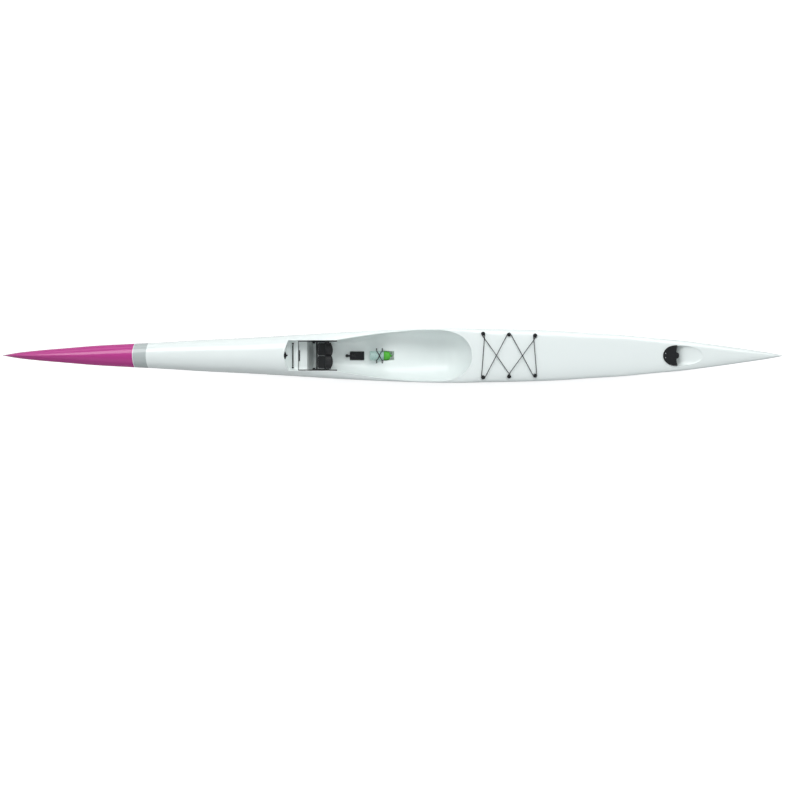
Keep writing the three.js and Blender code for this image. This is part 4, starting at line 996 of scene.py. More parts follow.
open_width = fair_curve([
    (0, 0.03), (0.138, 0.32), (0.349, 0.7), (0.447, 0.82), (0.597, 0.985), (0.746, 1), (1, 1),
])
seat_back = [(0.3, 0.06), (0.52, 0.2), (0.7, 0.4), (0.84, 0.62), (0.94, 0.83), (1, 1)]
floor_line = fair_curve([
    (COCKPIT_FRONT, LEDGE_HEIGHT), (LEDGE_END, LEDGE_HEIGHT), (LEDGE_END + STEP_RUN, STEP_HEIGHT),
    (STEP_END, STEP_HEIGHT), (STEP_END + STEP_RUN, STEP_HEIGHT - STEP_FALL),
    (FOOTWELL_FRONT, FLOOR), (HUMP_START, FLOOR), (HUMP_PLACE, HUMP_HEIGHT), (BUCKET_PLACE, FLOOR),
    *[(BUCKET_PLACE + along * (COCKPIT_END - BUCKET_PLACE), FLOOR + up * (SEAT_BACK_HEIGHT - FLOOR))
      for along, up in seat_back],
])
cockpit_fullness = fair_curve([
    (COCKPIT_FRONT, 8), (FOOTWELL_FRONT, 6), (FOOTWELL_END, 4.4), (HUMP_PLACE, 3),
    (BUCKET_PLACE, 2.6), (COCKPIT_END, 2.3),
])


def cockpit_width(x, grow=0.0):
    width = FOOTWELL_HALF_WIDTH
    if x > FOOTWELL_END:
        opened = open_width((x - FOOTWELL_END) / (COCKPIT_END - FOOTWELL_END))
        width += (BUCKET_HALF_WIDTH - FOOTWELL_HALF_WIDTH) * opened
    ahead = max((COCKPIT_FRONT + FRONT_ARC_REACH - x) / (FRONT_ARC_REACH + grow), 0)
    front = (1 - min(ahead, 1)) ** (1 / FRONT_ARC_POWER)
    behind = max((x - BUCKET_PLACE) / (COCKPIT_END + grow - BUCKET_PLACE), 0)
    return (width + grow) * front * rounded_share(behind, BUCKET_POWER)


def cockpit_floor(x, y):
    width = max(cockpit_width(x), LEAST_WIDTH)
    rim = deck_height(x, width)
    own = rim - (rim - floor_line(x)) * rounded_share(y / width, cockpit_fullness(x))
    least = hull_height(x, abs(y) + laminate) + 2 * laminate + LEAST_FLOOR_GAP
    return max(own, least)


FRONT_STEPS = 30
SIDE_STEPS = 200


def cockpit_outline(grow):
    """The rim seen from above, starting at the front and going round by starboard."""
    front, back = COCKPIT_FRONT - grow, COCKPIT_END + grow
    corner = COCKPIT_FRONT + FRONT_ARC_REACH
    half = [(front, 0.0)]
    for start, end, steps in ((front, corner, FRONT_STEPS), (corner, back, SIDE_STEPS)):
        fine = []
        fine_steps = 4 * steps
        for i in range(fine_steps + 1):
            x = start + (end - start) * (1 - math.cos(math.pi * i / fine_steps)) / 2
            fine.append((x, cockpit_width(x, grow)))
        half += even_arc(fine, steps)[1:]
    return half + [(x, -y) for x, y in reversed(half[1:-1])]


DECK_CUTTER_LOW = 0.1
DECK_CUTTER_HEIGHT = 0.4


def outline_cutter(outline):
    """A filled circle laid on the outline, and extruded up into a block."""
    clear_selection()
    bpy.ops.mesh.primitive_circle_add(vertices=len(outline), fill_type="NGON")
    cutter = newest("outline_cutter")
    for vertex, (x, y) in zip(cutter.data.vertices, outline):
        vertex.co = (x, y, DECK_CUTTER_LOW)
    on_all_faces(cutter, bpy.ops.mesh.extrude_region_move,
                 TRANSFORM_OT_translate={"value": (0, 0, DECK_CUTTER_HEIGHT)})
    return face_out(cutter)


cut(deck, outline_cutter(cockpit_outline(laminate)))
smooth(deck, 35)
adopt(deck, "hull", "gelcoat", skin_paint, "deck_shell")

# %% [markdown]
# The moulding itself is another wrapped grid. Its rows stand close together wherever the
# floor line turns, at the steps of the foot end and at the round ends, so every crease of
# the mould shows, and each row follows the rounded section of the tub from rim to rim.

# %% Cockpit moulding
COCKPIT_ROWS = 190
COCKPIT_AROUND = 44
END_ROWS = 22
LEAST_ROW_GAP = 0.4 * MM
FLOOR_LINE_STEPS = 3000
TUB_WALL = 3 * MM


def cockpit_rows():
    length = COCKPIT_END - COCKPIT_FRONT
    fine = [COCKPIT_FRONT + length * i / FLOOR_LINE_STEPS for i in range(FLOOR_LINE_STEPS + 1)]
    profile = even_arc([(x, floor_line(x)) for x in fine], COCKPIT_ROWS)
    rows = [x for x, _ in profile]
    for i in range(1, END_ROWS + 1):
        lead = 1 - math.cos(math.pi / 2 * i / END_ROWS)
        rows.append(COCKPIT_FRONT + FRONT_ARC_REACH * (i / END_ROWS) ** FRONT_ARC_POWER)
        rows.append(COCKPIT_END - (COCKPIT_END - BUCKET_PLACE) * lead)
    return thinned(rows, LEAST_ROW_GAP, COCKPIT_END)


def cockpit_half(x):
    width = max(cockpit_width(x), LEAST_WIDTH)
    across = [width * out for out, _ in quarter(cockpit_fullness(x))]
    return even_arc([(x, y, cockpit_floor(x, y)) for y in across], COCKPIT_AROUND)


tub_sections = [mirrored_section(cockpit_half(x)) for x in cockpit_rows()]
tub = wrapped_grid("cockpit_tub", tub_sections)
turn_skin(tub, (0, 0, 1))
use_modifier(tub, "SOLIDIFY", thickness=TUB_WALL, offset=-1)
print("tub faces", len(tub.data.polygons))

# %% [markdown]
# The knee hump has a trough for the drink bottle. One lying cylinder, its ends bevelled,
# cuts the hole. A second that is 3 mm larger becomes the trough's own wall: what stands
# above the floor is cut away from it, and so is the room inside.

# %% Drink trough and bailer seat
TROUGH_RADIUS = 39 * MM
TROUGH_FRONT = -0.198
TROUGH_END = 0.006
TROUGH_ROUND = 9 * MM
TROUGH_SIDES = 64
TROUGH_LIFT = 6 * MM
ROOM_HEIGHT = 0.3
ROOM_TOP = 0.27
TUB_HOLE_MARGIN = 2.4 * MM
TUB_HOLE_HEIGHTS = (0.0, 0.06)
trough_middle = (TROUGH_FRONT + TROUGH_END) / 2
trough_axis = cockpit_floor(trough_middle, 0) + TROUGH_LIFT


def trough(name, grow):
    """A lying cylinder with rounded ends, larger all round than the room of the trough."""
    clear_selection()
    bpy.ops.mesh.primitive_cylinder_add(
        vertices=TROUGH_SIDES, radius=TROUGH_RADIUS + grow,
        depth=TROUGH_END - TROUGH_FRONT + 2 * grow,
        location=(trough_middle, 0, trough_axis), rotation=(0, math.pi / 2, 0))
    return use_modifier(settle(newest(name)), "BEVEL", width=TROUGH_ROUND, segments=5,
                        limit_method="ANGLE", angle_limit=math.radians(60))


trough_wall = trough("trough_wall", TUB_WALL)
room = wrapped_grid("room_above_floor", [
    [(x, y, z - TUB_WALL / 2) for x, y, z in section] for section in tub_sections
])
turn_skin(room, (0, 0, -1))
use_modifier(room, "SOLIDIFY", thickness=ROOM_HEIGHT, offset=-1)
for vertex in room.data.vertices:
    vertex.co.z = min(vertex.co.z, ROOM_TOP)
cut(trough_wall, room)
cut(trough_wall, trough("trough_room", 0))
cut(tub, trough("trough_room", 0))
cut(tub, chute_cutter(TUB_HOLE_MARGIN, TUB_HOLE_HEIGHTS))
print("tub faces after cutting", len(tub.data.polygons))

# %% [markdown]
# The rim is rolled over the edge of the deck. It is a low bead, 10 mm wide: a grid is
# wrapped all the way round the outline, and each of its rows is one flat oval section.

# %% Rolled cockpit rim
RIM_WIDTH = 10 * MM
RIM_HEIGHT = 3.4 * MM
RIM_OVERHANG = 0.5 * MM
RIM_SECTION = 12


def rolled_rim():
    outline = cockpit_outline(RIM_WIDTH / 2 - RIM_OVERHANG)
    count = len(outline)
    rings = []
    for i in range(count + 1):
        x, y = outline[i % count]
        before, after = outline[i % count - 1], outline[(i + 1) % count]
        out = Vector((before[1] - after[1], after[0] - before[0])).normalized()
        ring = []
        for j in range(RIM_SECTION + 1):
            angle = FULL_TURN * j / RIM_SECTION
            across = RIM_WIDTH / 2 * math.cos(angle)
            px, py = x + out.x * across, y + out.y * across
            ring.append((px, py, deck_height(px, abs(py)) + RIM_HEIGHT / 2 * math.sin(angle)))
        rings.append(ring)
    return face_out(wrapped_grid("cockpit_rim", rings))


tub = join_pieces([tub, trough_wall, rolled_rim()], "cockpit_tub")
smooth(tub, 38)
adopt(tub, "hull", "gelcoat", cockpit_paint, "cockpit_shell")

# %% [markdown]
# ## Fittings that keep their CAD shape
# Many small fittings are right in the frame already, but their edges are knife sharp.
# A copy of each is merged, its flat faces are dissolved back into whole faces, and a small
# bevel rounds the edges, as a mould or a file would. Weighted normals then keep the shading
# of the flat faces flat.

# %% Round off a copy of a fitting
body_members = frame["record"]["behaviour"]["bodies"]
node_slots = {part["node"]: part["material_slot"] for part in frame["record"]["subparts"]}


def body_of(node):
    return next(body for body, members in body_members.items() if node in members)


def fit(piece, material, node):
    """Adopts a piece in place of one node, with that node's own body."""
    return adopt(piece, body_of(node), node_slots[node], material, node)


FLAT_ANGLE = math.radians(4)


def rounded_copy(node, width, segments, angle):
    source = bpy.data.objects[node]
    piece = source.copy()
    piece.data = source.data.copy()
    piece.name = "fine_" + node
    piece.data.name = piece.name
    bpy.context.collection.objects.link(piece)
    for key in list(piece.keys()):
        del piece[key]
    merge_doubles(piece)
    on_all_faces(piece, bpy.ops.mesh.dissolve_limited, angle_limit=FLAT_ANGLE)
    round_edges(piece, width, segments, angle)
    smooth(piece, 40)
    return use_modifier(piece, "WEIGHTED_NORMAL", keep_sharp=True)


both_sides = [("port", -1), ("starboard", 1)]
# Node, finish, and the rounding's width in mm, its steps and the least angle of an edge.
roundings = []
for side, _ in both_sides:
    roundings += [
        (f"footrest_track_{side}", black_nylon, 0.7, 2, 35),
        (f"clamp_knob_{side}", gloss_nylon, 1.2, 3, 50),
        (f"track_screw_{side}_1", steel, 0.4, 2, 35),
        (f"track_screw_{side}_2", steel, 0.4, 2, 35),
    ]
roundings += [
    ("footplate", black_nylon, 1.6, 3, 35),
    ("pedal_axle", steel, 0.5, 2, 35),
    ("bailer_frame", gloss_nylon, 1.0, 3, 35),
    ("bailer_lever", black_nylon, 1.0, 3, 35),
    ("bailer_flap", black_nylon, 0.5, 2, 35),
    ("leash_cleat", gloss_nylon, 1.4, 3, 35),
    ("tiller_yoke", steel, 0.8, 2, 50),
    ("yoke_nut", steel, 0.7, 2, 50),
    ("cover_screw_1", steel, 0.5, 2, 50),
    ("cover_screw_2", steel, 0.5, 2, 50),
]
for node, material, width, segments, angle in roundings:
    fit(rounded_copy(node, width * MM, segments, angle), material, node)

# %% [markdown]
# What is hidden in the closed hull, or is right as it is, keeps its CAD mesh and only gets
# its finish: the foam, the guide tubes, the bushes, the pin and the bailer's gasket.

# %% Finishes on nodes that stay
kept_finishes = {
    "fore_stringer": foam, "aft_stringer": foam, "seat_support": foam,
    "rudder_tube": pale_tube, "rudder_line_port": pale_tube, "rudder_line_starboard": pale_tube,
    "lower_bush": black_nylon, "upper_bush": black_nylon,
    "bailer_gasket": rubber, "bailer_pin": steel,
}
for node, material in kept_finishes.items():
    kept = bpy.data.objects[node]
    kept.data.materials.clear()
    kept.data.materials.append(material)
print("kept nodes", len(kept_finishes))

# %% [markdown]
# ## Turned fittings
# Knobs, caps and the bottle are bodies of revolution. Their outline is a short list of
# radius and height, and a grid is rolled up round the axis: each row of the grid becomes
# one ring. Merging the doubles closes the seam and the poles.

# %% Roll a grid round an axis


def scaled(outline, radius, height):
    """An outline given in shares, or in millimetres, in real radii and heights."""
    return [(r * radius, h * height) for r, h in outline]


def turned(name, outline, place, towards=(0, 0, 1), sides=48, flutes=0, depth=0.0):
    turn = Vector((0, 0, 1)).rotation_difference(Vector(towards))
    rings = []
    for radius, height in outline:
        ring = []
        for j in range(sides + 1):
            angle = FULL_TURN * (j % sides) / sides
            r = radius * (1 - depth * (1 + math.cos(flutes * angle)) / 2)
            spoke = Vector((r * math.cos(angle), r * math.sin(angle), height))
            ring.append(tuple(turn @ spoke + Vector(place)))
        rings.append(ring)
    return face_out(wrapped_grid(name, rings))


knob_outline = scaled([
    (0, -3), (8, -3), (8, 10.5), (9, 12), (14.2, 12.8), (15.6, 13.7), (15.6, 14.6), (14.6, 15.7),
    (12.4, 16.6), (11.4, 16.7), (9.6, 16.1), (6, 16.2), (0, 16.6),
], MM, MM)
for side, sign in both_sides:
    for row in (1, 2, 3):
        node = f"bungee_knob_{side}_{row}"
        low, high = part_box(node)
        x, y = (low[0] + high[0]) / 2, (low[1] + high[1]) / 2
        seat = deck_height(x, abs(y))
        knob = turned(f"fine_{node}", knob_outline, (x, y, seat), sides=56)
        fit(smooth(knob, 45), gloss_nylon, node)

# %% [markdown]
# The bottle is blow-moulded: a plain barrel with a finger groove and a rounded shoulder. Its
# cap is a dome with a fluted skirt for wet hands, and a pull-out valve at the end.

# %% Bottle, cap and valve
bottle_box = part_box("drink_bottle")
bottle_axis = (bottle_box[0][2] + bottle_box[1][2]) / 2
bottle_radius = (bottle_box[1][2] - bottle_box[0][2]) / 2


def on_bottle_axis(name, node, outline, **more):
    """Turns an outline, in shares of the node's radius and length, round the lying axis."""
    low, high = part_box(node)
    real = scaled(outline, (high[2] - low[2]) / 2, high[0] - low[0])
    return turned(name, real, (low[0], 0, bottle_axis), (1, 0, 0), **more)


bottle_line = [
    (0, 0.03), (0.5, 0.035), (0.62, 0.02), (0.78, 0), (0.9, 0.006), (0.97, 0.025), (1, 0.06),
    (1, 0.36), (0.985, 0.39), (0.955, 0.42), (0.945, 0.48), (0.955, 0.54), (0.985, 0.57), (1, 0.6),
    (1, 0.8), (0.99, 0.85), (0.96, 0.9), (0.9, 0.95), (0.82, 0.985), (0.78, 1), (0, 1),
]
bottle = on_bottle_axis("fine_drink_bottle", "drink_bottle", bottle_line, sides=64)
fit(smooth(bottle, 50), bottle_plastic, "drink_bottle")

CAP_FLUTES = 36
skirt_line = [(0, 0), (0.97, 0), (1, 0.03), (1, 0.3), (1, 0.48), (0, 0.49)]
dome_line = [
    (0, 0.45), (0.9, 0.45), (0.975, 0.5), (0.97, 0.55), (0.96, 0.62), (0.93, 0.72), (0.86, 0.83),
    (0.74, 0.92), (0.58, 0.975), (0.45, 1), (0.4, 0.985), (0, 0.985),
]
skirt = on_bottle_axis("cap_skirt", "bottle_cap", skirt_line, sides=6 * CAP_FLUTES,
                       flutes=CAP_FLUTES, depth=0.035)
dome = on_bottle_axis("cap_dome", "bottle_cap", dome_line, sides=72)
cap = join_pieces([skirt, dome], "fine_bottle_cap")
fit(smooth(cap, 40), green_plastic, "bottle_cap")

valve_line = [
    (0, 0), (1, 0), (1, 0.16), (0.72, 0.26), (0.68, 0.6), (0.95, 0.7), (1, 0.78), (0.95, 0.86),
    (0.6, 1), (0.3, 1), (0.25, 0.9), (0, 0.9),
]
valve = on_bottle_axis("fine_bottle_valve", "bottle_valve", valve_line, sides=36)
fit(smooth(valve, 40), green_plastic, "bottle_valve")

# %% [markdown]
# ## Cords
# A cord is a grid rolled round a route. The route is a smooth curve through a few points,
# and the ring of the grid is carried along it without twisting, so the braid runs true. The
# map named strip is written at once: length along the cord, and the share of a turn.

# %% Smooth routes and tubes


def smooth_route(points, steps=6):
    line = [Vector(point) for point in points]
    line = [2 * line[0] - line[1]] + line + [2 * line[-1] - line[-2]]
    fine = []
    for before, a, b, after in zip(line, line[1:], line[2:], line[3:]):
        for k in range(steps):
            t = k / steps
            bend = 2 * before - 5 * a + 4 * b - after
            twist = 3 * a - before - 3 * b + after
            fine.append(0.5 * (2 * a + (b - before) * t + bend * t ** 2 + twist * t ** 3))
    fine.append(line[-2])
    return fine


def strip_map(piece, lengths, width=1.0):
    layer = piece.data.uv_layers[0]
    layer.name = "strip"
    rows = len(lengths) - 1
    for loop in layer.data:
        loop.uv = (lengths[round(loop.uv.x * rows)], loop.uv.y * width)
    return piece


END_STEPS = [(0.0, 0.0), (0.12, 0.5), (0.45, 0.86), (1.0, 1.0)]
UPRIGHT = 1e-6


def tube_along(name, route, radius, sides=14):
    """A round cord along a route, with rounded ends that don't reach past it."""
    run = [0.0]
    for a, b in zip(route, route[1:]):
        run.append(run[-1] + (b - a).length)
    across = (route[1] - route[0]).cross(Vector((0, 0, 1)))
    if across.length < UPRIGHT:
        across = Vector((1, 0, 0))
    across.normalize()
    rings, lengths = [], []
    last = len(route) - 1
    for i, point in enumerate(route):
        way = (route[min(i + 1, last)] - route[max(i - 1, 0)]).normalized()
        across = (across - way * across.dot(way)).normalized()
        up = way.cross(across)
        stations = [(0.0, 1.0)]
        if i == 0:
            stations = [(lead * radius, size) for lead, size in END_STEPS]
        if i == last:
            stations = [(-lead * radius, size) for lead, size in reversed(END_STEPS)]
        for lead, size in stations:
            middle = point + way * lead
            ring = []
            for j in range(sides + 1):
                angle = FULL_TURN * (j % sides) / sides
                spoke = across * math.cos(angle) + up * math.sin(angle)
                ring.append(tuple(middle + spoke * radius * size))
            rings.append(ring)
            lengths.append(run[i] + lead)
    return face_out(strip_map(wrapped_grid(name, rings), lengths))


HOLD_RADIUS = 3.2 * MM
HOLD_PLACE = -0.107
HOLD_SPREAD = 22 * MM
HOLD_STEPS = 12
ARC_START = 0.14
EYE_SPAN = 53 * MM
EYE_RADIUS = 5 * MM
EYE_HEIGHT = 9 * MM
GLUE = 0.3 * MM
eye_outline = scaled([
    (0, -3), (5.0, -3), (5.0, 1.2), (4.2, 2.0), (4.0, 5.5), (4.6, 6.6), (4.9, 7.4), (4.4, 8.4),
    (2.6, 9.2), (0, 9.4),
], MM, MM)
eyes_made = 0
for i in (0, 1):
    lean = 1 - 2 * i
    feet = []
    for sign in (1, -1):
        x = HOLD_PLACE - lean * sign * HOLD_SPREAD
        floor_height = cockpit_floor(x, EYE_SPAN)
        eyes_made += 1
        node = f"cord_eye_{eyes_made}"
        eye = turned(f"fine_{node}", eye_outline, (x, sign * EYE_SPAN, floor_height), sides=32)
        fit(smooth(eye, 40), gloss_nylon, node)
        feet.append(Vector((x, sign * (EYE_SPAN - EYE_RADIUS - GLUE), floor_height + EYE_HEIGHT / 2)))
    arc = []
    for step in range(HOLD_STEPS + 1):
        share = step / HOLD_STEPS
        angle = math.pi * (ARC_START + (1 - 2 * ARC_START) * share)
        over = i * (2 * HOLD_RADIUS + 2 * GLUE) * math.sin(angle) ** 4
        reach = bottle_radius + HOLD_RADIUS + 2 * GLUE + over
        arc.append((HOLD_PLACE + lean * HOLD_SPREAD * (2 * share - 1), reach * math.cos(angle),
                    bottle_axis + reach * math.sin(angle)))
    knees = [foot - Vector((0, math.copysign(2 * HOLD_RADIUS, foot.y), 0)) for foot in feet]
    route = smooth_route([feet[0], knees[0], *arc, knees[1], feet[1]])
    node = f"bottle_cord_{i + 1}"
    fit(smooth(tube_along(f"fine_{node}", route, HOLD_RADIUS), 60), hold_braid, node)

# %% [markdown]
# The deck elastic is laced round the six knobs in one closed zigzag. Each straight run
# leaves one knob on its outer side and arrives at the next, and a short arc of points goes
# round the knob's neck. Where two runs cross, one of them is lifted over the other.

# %% Deck elastic
ELASTIC_RADIUS = 3 * MM
ELASTIC_RISE = 9 * MM
KNOB_NECK = 8 * MM
NECK_SLACK = 1.2 * MM
ELASTIC_TURN = KNOB_NECK + ELASTIC_RADIUS + GLUE + NECK_SLACK
RUN_STEPS = 7
HALF_TURN_STEPS = 7
lacing = [
    ("starboard_1", "port_1", 0), ("port_1", "starboard_2", 1), ("starboard_2", "port_3", 0),
    ("port_3", "starboard_3", 0), ("starboard_3", "port_2", 1), ("port_2", "starboard_1", 0),
]


def knob_place(key):
    low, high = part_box(f"bungee_knob_{key}")
    return Vector(((low[0] + high[0]) / 2, (low[1] + high[1]) / 2))


def outer_side(start, end, sign):
    way = (end - start).normalized()
    return Vector((-way.y, way.x)) * sign


def elastic_route():
    points = []
    for i, (start_key, end_key, over) in enumerate(lacing):
        start, end = knob_place(start_key), knob_place(end_key)
        side = outer_side(start, end, math.copysign(1, start.y)) * ELASTIC_TURN
        for step in range(RUN_STEPS + 1):
            t = step / RUN_STEPS
            x, y = (start + side) * (1 - t) + (end - side) * t
            lift = (ELASTIC_RISE + over * (2 * ELASTIC_RADIUS + MM)) * math.sin(math.pi * t)
            points.append((x, y, deck_height(x, abs(y)) + ELASTIC_RADIUS + MM + lift))
        if i == len(lacing) - 1:
            break
        beyond = knob_place(lacing[i + 1][1])
        outward = math.copysign(1, end.y)
        leaving = outer_side(end, beyond, outward)
        first = math.atan2(-side.y, -side.x)
        sweep = math.atan2(leaving.y, leaving.x) - first
        while sweep * outward > 0:
            sweep -= outward * FULL_TURN
        while sweep * outward < -FULL_TURN:
            sweep += outward * FULL_TURN
        turn_steps = math.ceil(abs(sweep) * HALF_TURN_STEPS / math.pi)
        for step in range(1, turn_steps):
            angle = first + sweep * step / turn_steps
            x = end.x + ELASTIC_TURN * math.cos(angle)
            y = end.y + ELASTIC_TURN * math.sin(angle)
            seat = deck_height(end.x, abs(end.y)) + ELASTIC_RADIUS
            points.append((x, y, max(deck_height(x, abs(y)) + ELASTIC_RADIUS + MM, seat)))
    return points


elastic = tube_along("fine_bungee_cord", smooth_route(elastic_route(), 5), ELASTIC_RADIUS, 12)
fit(smooth(elastic, 60), deck_braid, "bungee_cord")

# %% [markdown]
# A second, thicker elastic crosses the front ledge of the cockpit between two moulded hooks,
# and a rubber grip lies on the step behind it, where the hands hold the boat to carry it.

# %% Front elastic, hooks and lip grip
strap_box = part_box("front_elastic")
strap_x = (strap_box[0][0] + strap_box[1][0]) / 2
strap_z = (strap_box[0][2] + strap_box[1][2]) / 2
strap_reach = strap_box[1][1]
strap_radius = (strap_box[1][0] - strap_box[0][0]) / 2
STRAP_SAG = 1.5 * MM
STRAP_STEPS = 10
strap_route = []
for i in range(STRAP_STEPS + 1):
    share = 2 * i / STRAP_STEPS - 1
    strap_route.append((strap_x, strap_reach * share, strap_z - STRAP_SAG * (1 - share * share)))
front_elastic = tube_along("fine_front_elastic", smooth_route(strap_route, 3), strap_radius, 18)
fit(smooth(front_elastic, 60), hold_braid, "front_elastic")

HOOK_PLACE = 92 * MM
hook_outline = scaled([
    (0, -1.5), (8, -1.5), (8, 1.5), (7.4, 2.6), (6.2, 4.2), (6, 8), (6.6, 10), (7.6, 11.8),
    (7.6, 18.2), (6.9, 20.2), (5.2, 21.3), (2.4, 21.7), (0, 21.8),
], MM, MM)
for side, sign in both_sides:
    node = f"elastic_hook_{side}"
    foot = (strap_x, sign * HOOK_PLACE, LEDGE_HEIGHT)
    fit(smooth(turned(f"fine_{node}", hook_outline, foot, sides=40), 40), gloss_nylon, node)

grip_low, grip_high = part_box("lip_grip")
grip_radius = (grip_high[0] - grip_low[0]) / 2
grip_length = grip_high[1] - grip_low[1]
GRIP_RINGS = 8
GRIP_END_SHARE = 0.04
ring_shares = [(1, 0), (1, 0.62), (0.86, 0.72), (0.86, 0.9)]
pitch = (1 - 2 * GRIP_END_SHARE) / GRIP_RINGS
grip_line = [(0, 0), (0.72, 0), (0.95, 0.02)]
for i in range(GRIP_RINGS):
    grip_line += [(r, GRIP_END_SHARE + (i + along) * pitch) for r, along in ring_shares]
grip_line += [(1, 0.96), (0.95, 0.98), (0.72, 1), (0, 1)]
grip_end = ((grip_low[0] + grip_high[0]) / 2, grip_low[1], grip_low[2] + grip_radius)
grip = turned("fine_lip_grip", scaled(grip_line, grip_radius, grip_length), grip_end, (0, 1, 0),
              sides=32)
fit(smooth(grip, 30), rubber, "lip_grip")

# %% [markdown]
# ## Pedals and foot strap
# Each pedal is a moulded board with ribs across it, so that a wet foot doesn't slip. The
# board is a rounded copy, and the ribs are small bevelled bars that are turned to lie on it.

# %% Pedals
PEDAL_LEAN = math.radians(28)
PEDAL_THICKNESS = 8 * MM
PEDAL_ROUND = 1.6 * MM
pedal_hinge = Vector((-0.530, 0, 0.139))
rib_places = [22 * MM, 38 * MM, 54 * MM, 70 * MM, 86 * MM]
RIB_SIZE = 3.2 * MM
RIB_ROUND = 1 * MM
RIB_LIFT = 0.6 * MM
RIB_MARGIN = 16 * MM
TOP_RIB_MARGIN = 34 * MM
up_the_pedal = Vector((-math.sin(PEDAL_LEAN), 0, math.cos(PEDAL_LEAN)))
off_the_pedal = Vector((math.cos(PEDAL_LEAN), 0, math.sin(PEDAL_LEAN)))
for side, sign in both_sides:
    low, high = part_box(f"pedal_{side}")
    middle_y, width = (low[1] + high[1]) / 2, high[1] - low[1]
    parts = [rounded_copy(f"pedal_{side}", PEDAL_ROUND, 3, 35)]
    for reach in rib_places:
        centre = pedal_hinge + up_the_pedal * reach
        centre += off_the_pedal * (PEDAL_THICKNESS / 2 + RIB_LIFT)
        rib_width = width - (RIB_MARGIN if reach < rib_places[-1] else TOP_RIB_MARGIN)
        clear_selection()
        bpy.ops.mesh.primitive_cube_add(
            size=1, location=(centre.x, middle_y, centre.z), rotation=(0, -PEDAL_LEAN, 0))
        rib = newest("pedal_rib")
        rib.scale = (RIB_SIZE, rib_width, RIB_SIZE)
        parts.append(round_edges(settle(rib), RIB_ROUND, 3))
    pedal = join_pieces(parts, f"fine_pedal_{side}")
    fit(smooth(pedal, 40), black_nylon, f"pedal_{side}")

# %% [markdown]
# The foot strap is a flat webbing band that arches over each foot and is held down in the
# middle. It is a narrow grid laid along that line, and Solidify gives it the thickness.

# %% Foot strap
BAND_THICKNESS = 2.5 * MM
BAND_ROUND = 0.7 * MM
BAND_RISE = 62 * MM
BAND_TOP_GAP = 0.4 * MM
BAND_STEPS = 96
BAND_ACROSS = 10
band_low, band_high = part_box("foot_strap")
band_half = band_high[1]
band_width = band_high[0] - band_low[0]
band_foot = band_high[2] - BAND_RISE
arch_line = [
    (0, 0.12), (0.12, 0.3), (0.25, 0.78), (0.42, 1), (0.62, 1), (0.82, 0.86), (0.94, 0.6), (1, 0.2),
]
band_points = [(0, -y * band_half, band_foot + z * BAND_RISE) for y, z in reversed(arch_line[1:])]
band_points += [(0, y * band_half, band_foot + z * BAND_RISE) for y, z in arch_line]
band_route = even_arc([tuple(point) for point in smooth_route(band_points, 8)], BAND_STEPS)
band_rows, band_run = [], [0.0]
for i, (_, y, z) in enumerate(band_route):
    if i:
        band_run.append(band_run[-1] + math.dist(band_route[i - 1], band_route[i]))
    across = [band_low[0] + band_width * j / BAND_ACROSS for j in range(BAND_ACROSS + 1)]
    band_rows.append([(x, y, min(z, band_high[2] - BAND_TOP_GAP)) for x in across])
strap = strip_map(wrapped_grid("fine_foot_strap", band_rows), band_run, band_width)
turn_skin(strap, (0, 0, 1))
use_modifier(strap, "SOLIDIFY", thickness=BAND_THICKNESS, offset=-1)
round_edges(strap, BAND_ROUND, 2, 60)
fit(smooth(strap, 50), webbing, "foot_strap")

# %% [markdown]
# ## Rudder
# The blade is a thin wing. Its foil thickness follows the classic four-figure formula, its
# leading and trailing edges sweep back, and the rows close to nothing at the tip.

# %% Rudder blade and stock
STOCK_PLACE = 2.145
ROOT_LEAD = 41 * MM
ROOT_CHORD = 121 * MM
BLADE_THICKNESS = 16 * MM
BLADE_DEPTH = 176 * MM
BLADE_GAP = 3 * MM
BLADE_ROWS = 44
BLADE_AROUND = 48
DROP_POWER = 1.4
TIP_THINNING = 0.55
TIP_CLOSING = 6
TIP_SHARE = 0.15
LEAST_FOIL = 0.05
FOIL_FACTORS = [(0.2969, 0.5), (-0.126, 1), (-0.3516, 2), (0.2843, 3), (-0.1015, 4)]
lead_line = fair_curve([
    (0, 0), (0.1, 0.1), (0.28, 0.27), (0.46, 0.43), (0.62, 0.58), (0.76, 0.72), (0.88, 0.87),
    (0.96, 1.01), (1, 1.13),
])
trail_line = fair_curve([
    (0, 1), (0.1, 1.045), (0.28, 1.12), (0.46, 1.2), (0.62, 1.26), (0.76, 1.295), (0.88, 1.29),
    (0.96, 1.26), (1, 1.2),
])


def foil_half(along):
    """Share of the half thickness at a share of the chord."""
    return 10 * sum(factor * along ** power for factor, power in FOIL_FACTORS)


def blade_ring(drop, size=1.0):
    lead, trail = lead_line(drop) * ROOT_CHORD, trail_line(drop) * ROOT_CHORD
    closing = min(1, TIP_CLOSING * math.sqrt(1 - drop) + TIP_SHARE)
    half_thickness = BLADE_THICKNESS / 2 * (1 - TIP_THINNING * drop) * closing
    ring = []
    for k in range(BLADE_AROUND + 1):
        angle = FULL_TURN * (k % BLADE_AROUND) / BLADE_AROUND
        along = (1 + size * math.cos(angle)) / 2
        x = STOCK_PLACE - ROOT_LEAD + lead + along * (trail - lead)
        root = keel_at(x) - BLADE_GAP
        tip = keel_at(STOCK_PLACE) - BLADE_GAP - BLADE_DEPTH
        thickness = max(foil_half(along), LEAST_FOIL) * half_thickness * size
        y = math.copysign(thickness, math.sin(angle))
        if k % (BLADE_AROUND // 2) == 0:
            y = 0.0
        ring.append((x, y, root + (tip - root) * drop))
    return ring


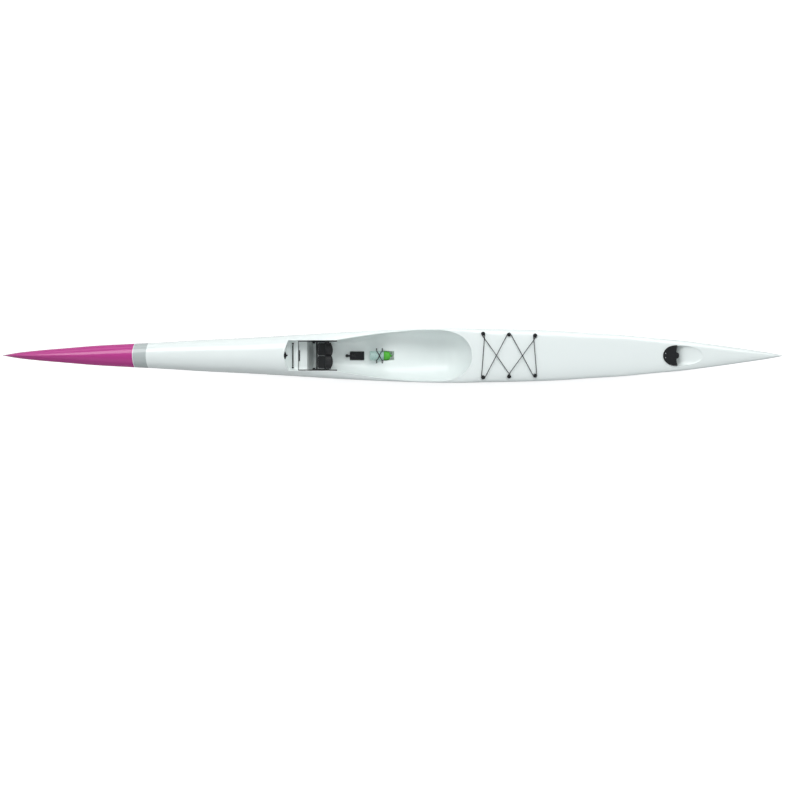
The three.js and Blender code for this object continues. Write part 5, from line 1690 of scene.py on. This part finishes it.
drops = [1 - (1 - i / BLADE_ROWS) ** DROP_POWER for i in range(BLADE_ROWS + 1)]
blade_rings = [blade_ring(0, 0.0), *[blade_ring(drop) for drop in drops], blade_ring(1, 0.0)]
blade = face_out(wrapped_grid("fine_rudder_blade", blade_rings))
fit(smooth(blade, 50), gloss_nylon, "rudder_blade")

stock_low, stock_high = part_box("rudder_stock")
stock_length = stock_high[2] - stock_low[2]
stock_outline = [
    (0, 0), (4.6 * MM, 0), (5 * MM, 0.6 * MM), (5 * MM, stock_length - 0.8 * MM),
    (4.2 * MM, stock_length), (0, stock_length),
]
stock = turned("fine_rudder_stock", stock_outline, (STOCK_PLACE, 0, stock_low[2]), sides=40)
fit(smooth(stock, 40), steel, "rudder_stock")

# %% [markdown]
# The cover over the rudder stock is one black moulding, and its aft end is the stern grip.
# It is wrapped row by row from side to side: each row is a closed loop that follows the
# crown of the deck from the round front edge to the horns and the tab at the back.

# %% Rudder cover
COVER_FRONT = STOCK_PLACE - 69 * MM
COVER_LENGTH = 108 * MM
COVER_REAR = COVER_FRONT + COVER_LENGTH
COVER_HALF_WIDTH = 80 * MM
COVER_TAB_REACH = 16 * MM
COVER_RISE = 9 * MM
COVER_GAP = 0.4 * MM
COVER_ROUND = 2.4 * MM
COVER_ROWS = 90
COVER_ALONG = 36
COVER_ARC_POWER = 0.85
cover_aft = [(0, 1), (0.115, 1), (0.247, 0.6), (0.316, -0.3), (0.62, -0.18), (0.93, 0.24), (1, 0)]


def cover_edges(out):
    """Front and aft edge at a share of the half width."""
    front = COVER_REAR - COVER_LENGTH * max(1 - out * out, 0) ** (COVER_ARC_POWER / 2)
    for (out_a, reach_a), (out_b, reach_b) in zip(cover_aft, cover_aft[1:]):
        if out <= out_b:
            reach = reach_a + (reach_b - reach_a) * (out - out_a) / (out_b - out_a)
            return front, COVER_REAR + COVER_TAB_REACH * reach
    return front, COVER_REAR


def cover_ring(y):
    front, aft = cover_edges(abs(y) / COVER_HALF_WIDTH)
    top, bottom = [], []
    for i in range(COVER_ALONG + 1):
        x = front + (aft - front) * (1 - math.cos(math.pi * i / COVER_ALONG)) / 2
        seat = deck_height(x, abs(y))
        inset = min((x - front) / COVER_ROUND, (aft - x) / COVER_ROUND, 1)
        drop = COVER_ROUND * (1 - math.sqrt(1 - (1 - inset) ** 2))
        top.append((x, y, seat + COVER_RISE - drop))
        bottom.append((x, y, seat + COVER_GAP))
    return top + bottom[::-1] + top[:1]


shares = {math.sin(math.pi / 2 * i / COVER_ROWS) for i in range(COVER_ROWS + 1)}
shares |= {out for out, _ in cover_aft}
shares = sorted(shares | {-share for share in shares})
cover_rings = [cover_ring(share * COVER_HALF_WIDTH) for share in shares]
cover = face_out(wrapped_grid("fine_rudder_cover", cover_rings))
fit(smooth(cover, 32), gloss_nylon, "rudder_cover")

# %% [markdown]
# ## The pieces made
# Blender only dresses the boat, so its box must be the box of the imported model. The last
# cell prints how many pieces were made and how many faces they have.

# %% Count the pieces and their faces
print("pieces", len(pieces_made), "faces", sum(pieces_made.values()))
